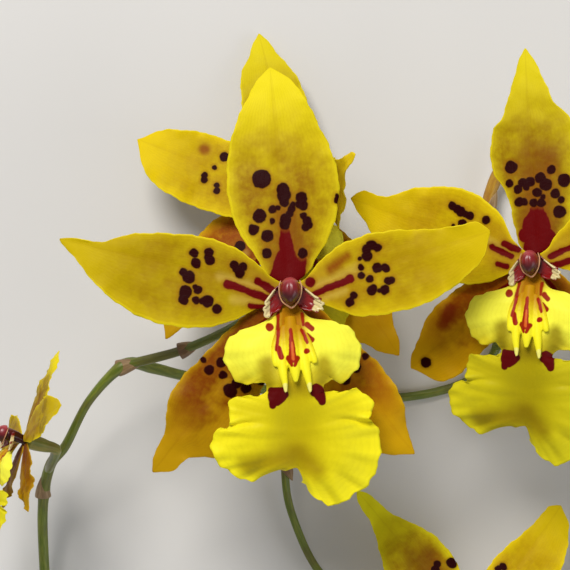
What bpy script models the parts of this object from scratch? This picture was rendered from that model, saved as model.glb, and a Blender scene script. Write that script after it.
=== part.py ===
# Cambria orchid: a cut spray of five open blooms on one green stem, lying on a table with
# the blooms looking up. Sizes are in millimetres, turned into metres by MM. +Z is up, and
# the origin ends at the middle of the foot of the spray's box.

import math

import bmesh
import bpy
import numpy as np
from mathutils import Matrix, Vector

MM = 0.001
WELD = 0.000001          # metres within which a tube's cap and wall points are one
BLADE_THICKNESS = 0.8    # at a bloom's own scale
LEAST_THICKNESS = 0.62   # what it keeps in the smallest blooms
BLADE_ROWS = 9
BLADE_CELLS = 6
ROW_CROWDING = 0.28      # how far the rows crowd towards a blade's root and tip, 0 to 1
EDGE_LAG = 1.7           # radians by which the ripple of one edge follows the other's
FLAT_SHARE = 0.3         # share of a blade's length that has no ripple, then as much again
CALM_TIP = 0.15          # share of its length over which the ripple dies out at the tip
CUP_START = 0.2          # share of its length over which the cupping grows
CUP_REACH = 10.0         # distance from the midrib where a blade's cup is measured
FOLD_START = 5.0         # distance from the bloom's centre where a folded blade bends up
FOLD_SPAN = 5.0          # length over which it bends
LIP_CELLS = 6
ROOT_RADIUS = 1.75
COLUMN_RADIUS = 1.4
COLUMN_TIP = (0.0, 0.3, 6.4)
WING_THICKNESS = 0.7
WING_HEIGHT = 4.9
CAP_RADIUS = 2.15
CAP_CUT = 0.2            # how far below its middle the cap is cut flat, in radii
CAP_GAP = 0.3
RECEPTACLE = {"radius": 2.6, "foot_radius": 2.1, "bottom": -3.0, "top": -1.2}
STEM_STEP = 4.2
TABLE_WIDTH = 400.0
TABLE_DEPTH = 20.0

# A blade's outline: distance from the bloom's centre, half-width on the side that lies
# counter-clockwise of the blade's axis, half-width on the other side.
DORSAL_OUTLINE = (
    (1.75, 1.4, 1.4), (3.7, 4.0, 4.0), (6.2, 5.4, 5.8), (9.2, 7.1, 8.0), (14.0, 9.5, 10.3),
    (20.9, 10.5, 11.5), (27.0, 9.9, 10.5), (32.3, 8.3, 8.5), (36.5, 6.3, 6.9), (39.1, 4.7, 5.5),
    (41.7, 3.0, 3.8), (43.3, 1.9, 2.2), (44.3, 0.8, 0.8),
)
LEFT_PETAL_OUTLINE = (
    (1.75, 1.6, 1.3), (4.0, 3.8, 2.0), (6.6, 5.5, 3.4), (9.5, 7.9, 5.0), (12.5, 9.6, 6.0),
    (15.0, 10.6, 6.5), (19.0, 11.4, 6.7), (23.2, 11.7, 6.2), (27.3, 11.3, 5.5), (31.0, 10.2, 4.6),
    (35.0, 8.4, 3.0), (38.0, 6.5, 1.2), (41.0, 4.2, 0.9), (43.5, 2.2, 0.8), (46.2, 1.2, 0.4),
)
RIGHT_PETAL_OUTLINE = (
    (1.75, 1.2, 1.4), (3.5, 1.6, 2.5), (6.0, 3.3, 4.4), (8.3, 4.5, 6.4), (12.0, 6.0, 8.6),
    (17.3, 6.4, 9.6), (23.0, 5.6, 9.9), (28.7, 4.0, 8.9), (34.5, 2.9, 6.5), (38.5, 2.6, 3.6),
    (40.3, 1.2, 0.9),
)
LEFT_SEPAL_OUTLINE = (
    (1.75, 0.9, 1.3), (4.0, 2.0, 2.5), (10.5, 4.2, 4.6), (16.0, 6.5, 5.5), (22.0, 8.0, 6.2),
    (26.5, 8.6, 6.8), (31.0, 8.9, 6.3), (34.5, 8.6, 4.3), (36.2, 6.0, 3.2), (38.5, 3.8, 2.5),
    (42.0, 3.0, 1.8), (44.6, 0.9, 0.7),
)
RIGHT_SEPAL_OUTLINE = (
    (1.75, 1.3, 0.9), (4.0, 2.2, 2.0), (10.0, 3.4, 4.0), (16.0, 4.2, 6.0), (22.5, 5.3, 7.2),
    (26.8, 5.2, 7.2), (30.7, 4.4, 6.9), (33.5, 2.9, 6.4), (36.0, 1.6, 5.2), (38.0, 0.9, 3.4),
    (40.2, 0.5, 0.9),
)
LONG_SEPAL_OUTLINE = (
    (1.75, 1.3, 0.9), (4.0, 2.5, 2.0), (10.5, 5.0, 4.2), (16.0, 6.3, 6.5), (22.0, 6.5, 8.0),
    (28.8, 5.7, 8.6), (32.6, 4.3, 8.4), (35.0, 2.9, 5.5), (38.0, 2.3, 3.8), (42.0, 0.7, 0.9),
)
BENT_SEPAL_OUTLINE = (
    (1.75, 0.9, 1.3), (4.0, 1.6, 3.2), (8.0, 2.4, 7.2), (12.0, 2.8, 10.8), (16.3, 3.0, 13.0),
    (20.7, 3.0, 13.3), (25.0, 2.9, 12.0), (30.0, 2.5, 9.6), (35.0, 1.8, 7.0), (39.0, 1.2, 5.0),
    (42.1, 0.7, 3.7), (44.2, 0.6, 1.8), (45.2, 0.5, 0.6),
)
SMALL_DORSAL_OUTLINE = (
    (1.75, 1.4, 1.4), (3.7, 3.2, 3.2), (8.0, 4.8, 4.8), (13.0, 5.6, 5.6), (18.0, 5.2, 5.2),
    (23.0, 3.8, 3.8), (27.0, 2.0, 2.0), (29.0, 0.7, 0.7),
)
SMALL_PETAL_OUTLINE = (
    (1.75, 1.4, 1.4), (4.0, 3.0, 2.6), (8.0, 5.4, 4.6), (13.0, 6.8, 5.8), (18.0, 6.6, 5.4),
    (22.5, 4.4, 3.6), (25.5, 2.2, 1.8), (27.0, 0.7, 0.7),
)
SMALL_SEPAL_OUTLINE = (
    (1.75, 0.9, 1.2), (4.0, 2.0, 2.2), (9.0, 3.8, 3.8), (14.0, 4.8, 4.8), (19.0, 4.4, 4.4),
    (23.0, 3.0, 3.0), (26.0, 1.4, 1.4), (27.5, 0.6, 0.6),
)
SLIM_DORSAL_OUTLINE = (
    (1.75, 1.4, 1.4), (3.7, 3.4, 3.4), (9.2, 5.4, 5.4), (14.0, 7.6, 7.6), (20.0, 9.0, 9.0),
    (25.0, 8.6, 8.8), (29.0, 7.0, 7.4), (34.0, 4.6, 5.0), (39.0, 2.8, 3.0), (44.0, 2.2, 2.2),
    (46.6, 1.5, 1.5), (48.0, 0.7, 0.7),
)
SHOULDERED_DORSAL_OUTLINE = (
    (1.75, 1.4, 1.6), (3.4, 3.2, 4.4), (5.5, 3.8, 6.4), (9.1, 4.5, 8.6), (14.1, 5.3, 9.8),
    (17.4, 6.8, 10.3), (20.3, 8.5, 10.6), (23.5, 9.1, 10.7), (27.4, 8.7, 10.4), (30.2, 7.8, 9.9),
    (32.2, 5.9, 8.6), (34.5, 5.0, 6.3), (38.8, 3.6, 4.5), (45.3, 1.4, 1.6), (47.4, 0.6, 0.6),
)
NARROW_DORSAL_OUTLINE = (
    (1.75, 1.4, 1.4), (3.7, 3.4, 3.2), (9.2, 5.4, 5.0), (14.0, 7.8, 6.4), (20.0, 9.0, 7.2),
    (25.6, 8.8, 7.3), (29.0, 8.3, 7.1), (33.4, 7.6, 6.2), (37.5, 6.6, 4.4), (40.6, 4.2, 3.0),
    (44.0, 2.2, 1.8), (46.5, 0.7, 0.7),
)
WAVED_PETAL_OUTLINE = (
    (1.75, 1.6, 1.3), (4.0, 3.8, 2.0), (6.5, 6.0, 3.4), (8.4, 7.6, 5.7), (10.2, 8.6, 7.4),
    (14.0, 9.8, 9.3), (18.6, 10.3, 10.4), (22.5, 10.2, 10.1), (26.4, 9.6, 8.8), (30.4, 8.8, 7.3),
    (33.5, 7.6, 5.3), (36.5, 6.2, 3.1), (39.3, 4.2, 2.8), (41.3, 2.9, 2.8), (43.4, 1.4, 2.4),
    (44.6, 0.5, 0.9),
)
BLUNT_PETAL_OUTLINE = (
    (1.75, 1.6, 1.3), (4.0, 3.8, 2.0), (7.0, 5.7, 3.6), (9.5, 7.3, 5.4), (14.8, 9.6, 7.2),
    (20.1, 10.2, 7.8), (26.3, 10.5, 7.7), (31.2, 9.9, 6.7), (34.0, 9.2, 5.6), (36.3, 7.9, 5.1),
    (38.9, 5.9, 3.7), (41.2, 2.9, 1.6), (42.8, 0.9, 0.5),
)
FOLDED_PETAL_OUTLINE = (
    (1.75, 1.2, 1.4), (3.5, 1.6, 2.5), (6.0, 3.3, 4.4), (8.3, 4.5, 6.4), (12.0, 6.0, 8.6),
    (17.3, 6.4, 9.4), (23.0, 5.6, 8.2), (28.0, 3.9, 5.4), (32.0, 2.2, 2.8), (36.0, 1.6, 1.6),
    (39.5, 1.3, 1.2), (41.0, 0.7, 0.7),
)
SHORT_SEPAL_OUTLINE = (
    (1.75, 0.9, 1.3), (4.0, 2.0, 2.5), (10.5, 4.2, 5.0), (16.0, 6.3, 6.7), (22.0, 7.6, 7.0),
    (26.9, 8.0, 6.5), (29.7, 8.1, 5.5), (32.6, 7.7, 3.8), (34.6, 6.6, 2.7), (36.4, 3.8, 2.2),
    (38.0, 0.7, 0.9),
)

# How each blade lies: its direction in degrees, the height of its root, its slope, how far
# its tip curls, how far its edges lift at 10 mm from the midrib, and its edge ripple.
BLADES = {
    "dorsal_sepal": {
        "outline": DORSAL_OUTLINE, "angle": 95.1, "root": -0.5, "slope": -0.05,
        "curl": -1.6, "cup": -0.7, "ripple": 0.5, "waves": 2.6,
    },
    "sepal_left": {
        "outline": LEFT_SEPAL_OUTLINE, "angle": 232.7, "root": -0.5, "slope": -0.07,
        "curl": -1.5, "cup": -0.9, "ripple": 0.8, "waves": 3.2,
    },
    "sepal_right": {
        "outline": RIGHT_SEPAL_OUTLINE, "angle": 307.6, "root": -0.5, "slope": -0.07,
        "curl": -1.5, "cup": -0.9, "ripple": 0.8, "waves": 2.8,
    },
    "petal_left": {
        "outline": LEFT_PETAL_OUTLINE, "angle": 167.0, "root": 0.65, "slope": 0.03,
        "curl": -3.4, "cup": 0.5, "ripple": 0.6, "waves": 2.4,
    },
    "petal_right": {
        "outline": RIGHT_PETAL_OUTLINE, "angle": 16.9, "root": 0.65, "slope": 0.03,
        "curl": 3.2, "cup": 0.5, "ripple": 0.6, "waves": 2.2,
    },
}

# The lip from its claw to the notch of its skirt: the midline's (x, y, z), then the left
# and the right edge. The edges run round two side lobes, in at the waist and out round the
# two-lobed skirt, whose shoulders are folded. The skirt hangs a little to the right.
LIP_ROWS = (
    ((0.0, -1.8, 1.9), (-1.5, -2.0, 1.9), (1.5, -2.0, 1.9)),
    ((0.0, -3.4, 2.9), (-2.4, -3.6, 2.7), (2.4, -3.6, 2.7)),
    ((0.0, -5.0, 4.0), (-4.5, -5.5, 3.6), (4.1, -5.1, 3.6)),
    ((0.0, -6.4, 5.0), (-7.4, -6.7, 4.6), (8.0, -5.6, 4.6)),
    ((0.1, -8.0, 5.7), (-11.0, -8.2, 4.8), (11.8, -7.1, 4.8)),
    ((0.1, -9.5, 6.1), (-12.8, -11.5, 4.4), (13.7, -11.2, 4.4)),
    ((0.2, -10.9, 6.4), (-11.9, -15.0, 4.8), (12.9, -14.8, 4.8)),
    ((0.4, -12.3, 6.6), (-9.3, -17.8, 5.2), (10.2, -17.3, 5.2)),
    ((0.7, -14.4, 6.7), (-6.6, -17.3, 5.9), (7.9, -17.0, 5.9)),
    ((1.0, -16.6, 6.8), (-4.7, -17.9, 6.3), (6.5, -17.8, 6.3)),
    ((1.1, -18.8, 6.7), (-4.5, -19.2, 6.3), (6.7, -19.1, 6.2)),
    ((1.2, -20.8, 6.5), (-7.0, -20.1, 5.3), (9.0, -19.3, 5.0)),
    ((1.2, -23.4, 6.2), (-10.8, -20.3, 4.1), (12.8, -18.8, 3.8)),
    ((1.2, -25.0, 5.8), (-12.0, -22.4, 3.6), (15.6, -20.6, 3.3)),
    ((1.2, -26.2, 5.4), (-11.6, -24.4, 4.1), (16.2, -22.8, 3.2)),
    ((1.2, -27.2, 5.1), (-11.8, -25.9, 5.0), (15.1, -24.3, 4.4)),
    ((1.2, -28.2, 4.7), (-14.5, -27.0, 3.2), (16.7, -25.8, 3.0)),
    ((1.2, -29.2, 4.4), (-15.3, -29.8, 2.4), (17.6, -29.3, 2.2)),
    ((1.3, -30.2, 4.0), (-14.3, -32.8, 3.0), (17.0, -33.6, 3.0)),
    ((1.3, -31.1, 3.6), (-11.6, -35.0, 1.8), (15.2, -37.3, 1.8)),
    ((1.4, -31.9, 3.2), (-8.2, -36.7, 2.6), (12.0, -39.5, 2.6)),
    ((1.4, -32.6, 2.9), (-5.6, -36.2, 2.2), (8.8, -41.4, 2.0)),
    ((1.5, -33.2, 2.6), (-3.2, -34.9, 2.3), (5.4, -40.3, 2.4)),
    ((1.5, -33.8, 2.4), (-0.6, -34.7, 1.7), (2.3, -36.8, 1.9)),
)
LIP_CLAW = LIP_ROWS[0][0]
LIP_BULGE = 1.3          # how far each half swells between the midline and the edge
LIP_BULGE_REACH = 10.0   # half-width from which the swelling is full

# The lip's crest: pointed ridges that fan out from the claw, as routes of (x, y, z, radius).
CREST_RIDGES = (
    ((0.0, -6.6, 5.0, 1.0), (0.4, -10.5, 6.7, 1.0), (1.1, -16.7, 9.2, 0.25)),
    ((-1.7, -8.0, 5.4, 1.0), (-1.5, -13.6, 7.2, 1.0), (-0.9, -18.7, 8.9, 0.25)),
    ((1.9, -8.0, 5.4, 1.0), (2.9, -13.4, 7.2, 1.0), (3.9, -18.6, 8.9, 0.25)),
    ((-3.0, -8.6, 5.5, 0.9), (-3.4, -13.6, 8.3, 0.25)),
    ((3.3, -8.4, 5.5, 0.9), (4.9, -13.0, 8.3, 0.25)),
)

# One toothed wing beside the tip of the column, on its right; the left one mirrors it.
WING_OUTLINE = (
    (0.9, 1.0), (2.5, 1.3), (3.3, 0.4), (4.3, 0.6), (4.3, -0.5), (5.4, -1.0), (4.5, -1.6),
    (4.9, -2.6), (3.6, -2.3), (3.0, -3.1), (2.2, -2.2), (0.9, -1.0),
)

# Where each bloom is, which way it looks, where its upper sepal points, and its size.
# "lip" is the size of its lip beside the front bloom's and the degrees by which it is turned
# about its claw. "turns" adds degrees to a blade's angle, "leans" adds to a blade's slope,
# "curls" to the curl of its tip, and "folds" are degrees by which it bends up near its root.
BLOOMS = {
    "front": {
        "centre": (0.0, 0.0, 50.0), "looks": (0.0, 0.0, 1.0), "up": (0.0, 1.0, 0.0),
        "size": 1.0, "phase": 0.0, "lip": (1.0, 0.0),
        "outlines": {}, "turns": {}, "leans": {}, "folds": {}, "curls": {},
    },
    "right": {
        "centre": (48.9, 6.0, 40.0), "looks": (-0.3, -0.06, 1.0), "up": (-0.02, 1.0, 0.0),
        "size": 0.9, "phase": 1.3, "lip": (1.07, -7.0),
        "outlines": {"dorsal_sepal": SHOULDERED_DORSAL_OUTLINE, "petal_left": WAVED_PETAL_OUTLINE,
                     "sepal_left": SHORT_SEPAL_OUTLINE},
        "turns": {"dorsal_sepal": -3.1, "petal_left": -7.0, "petal_right": 4.0, "sepal_left": -14.2},
        "leans": {"petal_left": 0.02, "petal_right": -0.1, "sepal_left": 0.04},
        "folds": {}, "curls": {},
    },
    "rear": {
        "centre": (2.8, 17.8, 15.0), "looks": (-0.05, 0.25, 1.0), "up": (0.0, 1.0, 0.0),
        "size": 0.88, "phase": 2.1, "lip": (0.76, -4.0),
        "outlines": {"dorsal_sepal": NARROW_DORSAL_OUTLINE, "petal_left": BLUNT_PETAL_OUTLINE,
                     "petal_right": FOLDED_PETAL_OUTLINE, "sepal_left": BENT_SEPAL_OUTLINE,
                     "sepal_right": LONG_SEPAL_OUTLINE},
        "turns": {"dorsal_sepal": 9.1, "petal_left": -8.8, "petal_right": -5.6,
                  "sepal_left": -9.0, "sepal_right": -4.6},
        "leans": {"dorsal_sepal": 0.02, "petal_left": 0.12}, "folds": {"petal_right": 87.0},
        "curls": {"petal_right": -8.4},
    },
    "left": {
        "centre": (-53.4, -29.8, 36.0), "looks": (-0.88, 0.28, 0.36), "up": (0.33, 0.94, 0.0),
        "size": 0.66, "phase": 3.4, "lip": (0.8, 0.0),
        "outlines": {"dorsal_sepal": SMALL_DORSAL_OUTLINE, "petal_left": SMALL_PETAL_OUTLINE,
                     "petal_right": SMALL_PETAL_OUTLINE, "sepal_left": SMALL_SEPAL_OUTLINE,
                     "sepal_right": SMALL_SEPAL_OUTLINE},
        "turns": {"petal_left": 16.0, "petal_right": 18.0, "sepal_left": 8.0, "sepal_right": 12.0},
        "leans": {"dorsal_sepal": 0.03, "sepal_right": 0.08},
        "folds": {}, "curls": {"petal_right": -5.6},
    },
    "low": {
        "centre": (38.1, -70.6, 21.0), "looks": (0.1, 0.35, 1.0), "up": (-0.574, 0.819, 0.0),
        "size": 0.8, "phase": 4.2, "lip": (1.0, 0.0),
        "outlines": {"dorsal_sepal": SLIM_DORSAL_OUTLINE}, "turns": {"dorsal_sepal": -5.0},
        "leans": {}, "folds": {}, "curls": {},
    },
}

# Stem routes as (x, y, z, radius). The main one runs from the cut end to the fork and on
# behind the blooms to its tip. It dips to the table at its cut end and at its right bend.
CUT_STEM = (
    (-52.4, -92.0, 1.0, 1.25), (-52.4, -84.0, 1.0, 1.2), (-52.5, -66.0, 3.2, 1.1),
    (-52.6, -47.2, 8.5, 1.1),
    (-50.6, -37.0, 13.6, 1.15), (-46.9, -32.2, 16.6, 1.0), (-41.5, -22.5, 21.0, 0.9),
    (-34.0, -15.1, 24.0, 1.2), (-28.4, -16.0, 18.5, 1.2), (-22.3, -17.8, 12.0, 1.1),
    (-10.0, -20.4, 6.4, 1.0), (1.0, -21.6, 3.6, 1.0), (12.0, -22.6, 2.2, 0.95),
    (24.4, -22.9, 1.2, 0.95), (35.7, -20.6, 0.7, 0.95), (42.2, -16.6, 0.75, 0.95),
    (45.6, -8.0, 1.6, 0.95), (44.6, 6.0, 2.8, 0.9), (42.4, 17.0, 3.6, 1.0),
    (44.0, 23.5, 4.4, 1.4), (46.5, 28.0, 5.4, 1.3), (48.6, 32.0, 6.4, 0.4),
)
# Each flower stalk starts inside the stem and ends behind its bloom, where its ovary is added.
STALKS = {
    "front": ((-34.0, -15.1, 24.0, 1.0), (-27.8, -13.6, 27.6, 1.0), (-21.4, -11.7, 30.4, 0.95),
              (-13.5, -8.2, 33.4, 0.9), (-5.0, -3.4, 36.0, 1.0)),
    "right": ((44.4, -12.0, 1.1, 0.9), (48.8, -10.2, 6.5, 0.9), (52.2, -3.0, 14.0, 0.95),
              (52.8, 3.4, 21.5, 1.1)),
    "rear": ((8.7, -22.4, 2.6, 0.9), (8.6, -13.0, 2.1, 0.85), (7.2, -2.0, 1.15, 0.95),
             (4.6, 8.0, 1.2, 1.3)),
    "left": ((-50.6, -37.0, 13.6, 0.95), (-50.2, -37.0, 19.0, 0.85), (-49.2, -35.6, 25.0, 0.85),
             (-47.8, -33.2, 30.2, 0.95)),
    "low": ((1.0, -21.6, 3.6, 0.9), (-0.4, -29.0, 4.6, 0.8), (-1.0, -38.2, 5.2, 0.85),
            (0.6, -48.0, 5.0, 0.85), (7.0, -61.0, 4.2, 0.85), (19.0, -69.6, 3.4, 0.95),
            (30.4, -74.4, 5.0, 1.2)),
}
OVARY_STEPS = ((10.5, 1.5), (7.5, 1.9), (4.5, 2.3), (2.0, 2.3))

# Scale leaves at the stem's nodes: the place of the root, which way the tip points, length.
BRACTS = (
    ((-34.6, -15.6, 24.0), (0.85, 0.25, 0.45), 7.0),
    ((-21.8, -11.9, 30.2), (0.9, 0.35, 0.3), 5.0),
    ((-52.3, -42.8, 10.6), (0.0, 0.87, 0.55), 5.0),
    ((-52.4, -72.0, 2.8), (0.05, 0.95, 0.2), 8.0),
    ((9.4, -22.4, 2.7), (0.1, 0.95, 0.2), 5.0),
    ((0.0, -21.8, 3.8), (-0.2, -0.9, 0.2), 5.0),
    ((-1.0, -36.6, 5.1), (0.35, -0.85, 0.35), 5.0),
    ((45.6, -9.5, 1.5), (-0.1, 0.9, 0.3), 5.0),
    ((42.9, 18.2, 3.8), (0.35, 0.9, 0.25), 5.0),
)
BRACT_WIDTH = 1.5
BRACT_FLATNESS = 0.55
BRACT_TIP = 0.15
BRACT_OUT = 0.36         # how far its middle lies from the root, in lengths

# Colours are linear red, green and blue, with the surface's roughness.
FINISHES = {
    "yellow_petal": ((0.72, 0.46, 0.012), 0.42),
    "flushed_sepal": ((0.56, 0.27, 0.012), 0.45),
    "lemon_lip": ((0.85, 0.63, 0.015), 0.4),
    "maroon_column": ((0.34, 0.035, 0.045), 0.35),
    "crimson_cap": ((0.24, 0.008, 0.02), 0.25),
    "green_stem": ((0.11, 0.2, 0.03), 0.5),
}


def clear_scene():
    for thing in list(bpy.data.objects):
        bpy.data.objects.remove(thing)


def new_collection(name):
    group = bpy.data.collections.new(name)
    bpy.context.scene.collection.children.link(group)
    return group


def make_finish(name):
    colour, roughness = FINISHES[name]
    finish = bpy.data.materials.new(name)
    finish.use_nodes = True
    shader = finish.node_tree.nodes["Principled BSDF"]
    shader.inputs["Base Color"].default_value = (*colour, 1.0)
    shader.inputs["Roughness"].default_value = roughness
    shader.inputs["Metallic"].default_value = 0.0
    return finish


def add_object(name, data, group, finish=None, parent=None):
    thing = bpy.data.objects.new(name, data)
    group.objects.link(thing)
    thing.parent = parent
    if finish:
        thing.data.materials.clear()
        thing.data.materials.append(finish)
    return thing


def grid_mesh(name, rows):
    """An open surface through rows of points, each cell split alike on both sides."""
    surface = bmesh.new()
    grid = [[surface.verts.new(Vector(point) * MM) for point in row] for row in rows]
    for lower, upper in zip(grid, grid[1:]):
        cells = len(lower) - 1
        for k in range(cells):
            if k < cells / 2:
                surface.faces.new((lower[k], lower[k + 1], upper[k + 1]))
                surface.faces.new((lower[k], upper[k + 1], upper[k]))
            else:
                surface.faces.new((lower[k], lower[k + 1], upper[k]))
                surface.faces.new((lower[k + 1], upper[k + 1], upper[k]))
    mesh = bpy.data.meshes.new(name)
    surface.to_mesh(mesh)
    surface.free()
    mesh.shade_smooth()
    return mesh


def thicken(thing, size):
    """Gives a blade its thickness, half of it on each side; size is its frame's scale."""
    shell = thing.modifiers.new("thickness", "SOLIDIFY")
    shell.thickness = max(BLADE_THICKNESS, LEAST_THICKNESS / size) * MM
    shell.offset = 0.0
    shell.use_rim = True


def tube_curve(name, route, sides_level):
    """A tapering tube along a route of (x, y, z, radius)."""
    curve = bpy.data.curves.new(name, "CURVE")
    curve.dimensions = "3D"
    curve.bevel_depth = MM
    curve.bevel_resolution = sides_level
    curve.use_fill_caps = True
    spline = curve.splines.new("POLY")
    spline.points.add(len(route) - 1)
    for point, (x, y, z, radius) in zip(spline.points, route):
        point.co = (x * MM, y * MM, z * MM, 1.0)
        point.radius = radius
    return curve


def curve_to_mesh(curve_object, group):
    """Swaps a curve object for a closed mesh object of the same shape and place."""
    bpy.context.view_layer.update()
    graph = bpy.context.evaluated_depsgraph_get()
    mesh = bpy.data.meshes.new_from_object(curve_object.evaluated_get(graph))
    welded = bmesh.new()
    welded.from_mesh(mesh)
    bmesh.ops.remove_doubles(welded, verts=welded.verts, dist=WELD)
    bmesh.ops.recalc_face_normals(welded, faces=welded.faces)
    welded.to_mesh(mesh)
    welded.free()
    name = curve_object.name
    place = curve_object.matrix_world.copy()
    bpy.data.objects.remove(curve_object)
    solid = bpy.data.objects.new(name, mesh)
    solid.matrix_world = place
    group.objects.link(solid)
    return solid


def tube_solid(name, route, group, sides_level=2):
    return curve_to_mesh(add_object(name, tube_curve(name, route, sides_level), group), group)


def join_into(base, joined):
    """Unites a solid with every object of a collection, then removes that collection."""
    union = base.modifiers.new("union", "BOOLEAN")
    union.operation = "UNION"
    union.operand_type = "COLLECTION"
    union.collection = joined
    union.solver = "EXACT"
    apply_modifiers(base)
    for thing in list(joined.objects):
        bpy.data.objects.remove(thing)
    bpy.data.collections.remove(joined)


def apply_modifiers(thing):
    bpy.context.view_layer.update()
    graph = bpy.context.evaluated_depsgraph_get()
    mesh = bpy.data.meshes.new_from_object(thing.evaluated_get(graph))
    thing.modifiers.clear()
    thing.data = mesh


def smooth_route(points, step):
    """Points about a step apart on a smooth curve through the given ones."""
    knots = np.array(points, float)
    ends = np.vstack([2 * knots[0] - knots[1], knots, 2 * knots[-1] - knots[-2]])
    route = []
    for a, b, c, d in zip(ends, ends[1:], ends[2:], ends[3:]):
        count = max(1, round(float(np.linalg.norm((c - b)[:3])) / step))
        for t in np.arange(count) / count:
            route.append(0.5 * (2 * b + (c - a) * t + (2 * a - 5 * b + 4 * c - d) * t**2
                                + (3 * b - a - 3 * c + d) * t**3))
    route.append(knots[-1])
    return route


def blade_rows(blade, bloom, name):
    """The points of one blade's middle surface in its bloom's frame, root to tip."""
    outline = np.array(bloom["outlines"].get(name, blade["outline"]))
    angle = math.radians(blade["angle"] + bloom["turns"].get(name, 0.0))
    slope = blade["slope"] + bloom["leans"].get(name, 0.0)
    curl = blade["curl"] + bloom["curls"].get(name, 0.0)
    fold = math.radians(bloom["folds"].get(name, 0.0))
    axis = Vector((math.cos(angle), math.sin(angle), 0.0))
    side = Vector((-math.sin(angle), math.cos(angle), 0.0))
    length = outline[-1, 0]
    rows = []
    for i in range(BLADE_ROWS + 1):
        even = i / BLADE_ROWS
        crowded = (1 - math.cos(math.pi * even)) / 2
        along = ROOT_RADIUS + (length - ROOT_RADIUS) * (even + ROW_CROWDING * (crowded - even))
        left = np.interp(along, outline[:, 0], outline[:, 1])
        right = np.interp(along, outline[:, 0], outline[:, 2])
        row = []
        for k in range(BLADE_CELLS + 1):
            t = 2 * k / BLADE_CELLS - 1
            across = t * (left if t > 0 else right)
            height = blade_height(blade, bloom["phase"], slope, curl, along, across, t, length)
            out, height = folded(along, height, fold)
            row.append(axis * out + side * across + Vector((0.0, 0.0, height)))
        rows.append(row)
    return rows


def folded(along, height, fold):
    """Where a point of a blade comes to lie when the blade bends up by an angle."""
    bent = min(max((along - FOLD_START) / FOLD_SPAN, 0.0), 1.0) * fold
    if bent == 0.0:
        return along, height
    radius = FOLD_SPAN / fold
    past = max(along - FOLD_START - FOLD_SPAN, 0.0)
    out = FOLD_START + radius * math.sin(bent) + past * math.cos(bent) - height * math.sin(bent)
    rise = radius * (1 - math.cos(bent)) + past * math.sin(bent) + height * math.cos(bent)
    return out, rise


def blade_height(blade, phase, slope, curl, along, across, t, length):
    """Height of a blade's middle surface over its bloom's plane."""
    share = (along - ROOT_RADIUS) / (length - ROOT_RADIUS)
    free = min(max((share - FLAT_SHARE) / FLAT_SHARE, 0.0), 1.0)
    calm = min((1.0 - share) / CALM_TIP, 1.0)
    turn = 2 * math.pi * blade["waves"] * share + phase + (EDGE_LAG if t > 0 else 0.0)
    ripple = blade["ripple"] * free * calm * t * t * math.sin(turn)
    cup = blade["cup"] * (across / CUP_REACH)**2 * min(share / CUP_START, 1.0)
    return blade["root"] + slope * (along - ROOT_RADIUS) + curl * share**3 + cup + ripple


def lip_rows():
    """The points of the lip's middle surface in its bloom's frame, claw to notch."""
    rows = []
    half = LIP_CELLS // 2
    for middle, left, right in LIP_ROWS:
        middle = Vector(middle)
        row = []
        for k in range(-half, half + 1):
            edge = Vector(left if k < 0 else right)
            share = abs(k) / half
            reach = min(abs(edge.x - middle.x) / LIP_BULGE_REACH, 1.0)
            swell = LIP_BULGE * math.sin(math.pi * share) * reach
            row.append(middle.lerp(edge, share) + Vector((0.0, 0.0, swell)))
        rows.append(row)
    return rows


def lip_matrix(bloom):
    """The lip's frame in its bloom's frame: sized and turned about the claw."""
    size, turn = bloom["lip"]
    claw = Vector(LIP_CLAW) * MM
    turned = Matrix.Rotation(math.radians(turn), 4, "Z") @ Matrix.Scale(size, 4)
    return Matrix.Translation(claw) @ turned @ Matrix.Translation(-claw)


def make_lip(name, bloom, parts, finish, bloom_frame):
    """The lip's sheet with its crest, as one solid."""
    frame = add_object(name + "_frame", None, parts, parent=bloom_frame)
    frame.matrix_local = lip_matrix(bloom)
    bpy.context.view_layer.update()
    lip = add_object(name, grid_mesh(name, lip_rows()), parts, finish, frame)
    thicken(lip, bloom["size"] * bloom["lip"][0])
    apply_modifiers(lip)
    ridges = new_collection(name + "_ridges")
    for k, route in enumerate(CREST_RIDGES):
        ridge = tube_solid(f"{name}_ridge_{k}", route, ridges, sides_level=0)
        ridge.parent = frame
    join_into(lip, ridges)


def make_wing(name, side, group):
    """A flat toothed plate beside the column's tip; side is 1 for right and -1 for left."""
    curve = bpy.data.curves.new(name, "CURVE")
    curve.dimensions = "2D"
    curve.fill_mode = "BOTH"
    curve.extrude = WING_THICKNESS / 2 * MM
    spline = curve.splines.new("POLY")
    spline.points.add(len(WING_OUTLINE) - 1)
    for point, (x, y) in zip(spline.points, WING_OUTLINE):
        point.co = (side * x * MM, y * MM, 0.0, 1.0)
    spline.use_cyclic_u = True
    flat = add_object(name, curve, group)
    flat.location.z = WING_HEIGHT * MM
    return curve_to_mesh(flat, group)


def make_column(name, parts, finish, frame):
    """The column, leaning over the lip's claw, with a toothed wing on each side."""
    tip_x, tip_y, tip_z = COLUMN_TIP
    route = ((0.0, 0.0, -0.9, COLUMN_RADIUS), (0.0, 0.1, 1.0, COLUMN_RADIUS),
             (0.0, 0.5, 3.0, 1.7), (0.0, 0.5, 5.0, 2.0), (tip_x, tip_y, tip_z, 1.9))
    column = tube_solid(name, route, parts)
    column.parent = frame
    column.data.materials.append(finish)
    wings = new_collection(name + "_wings")
    for side in (1, -1):
        make_wing(f"{name}_wing_{side}", side, wings).parent = frame
    join_into(column, wings)
    column.data.shade_smooth()


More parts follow.
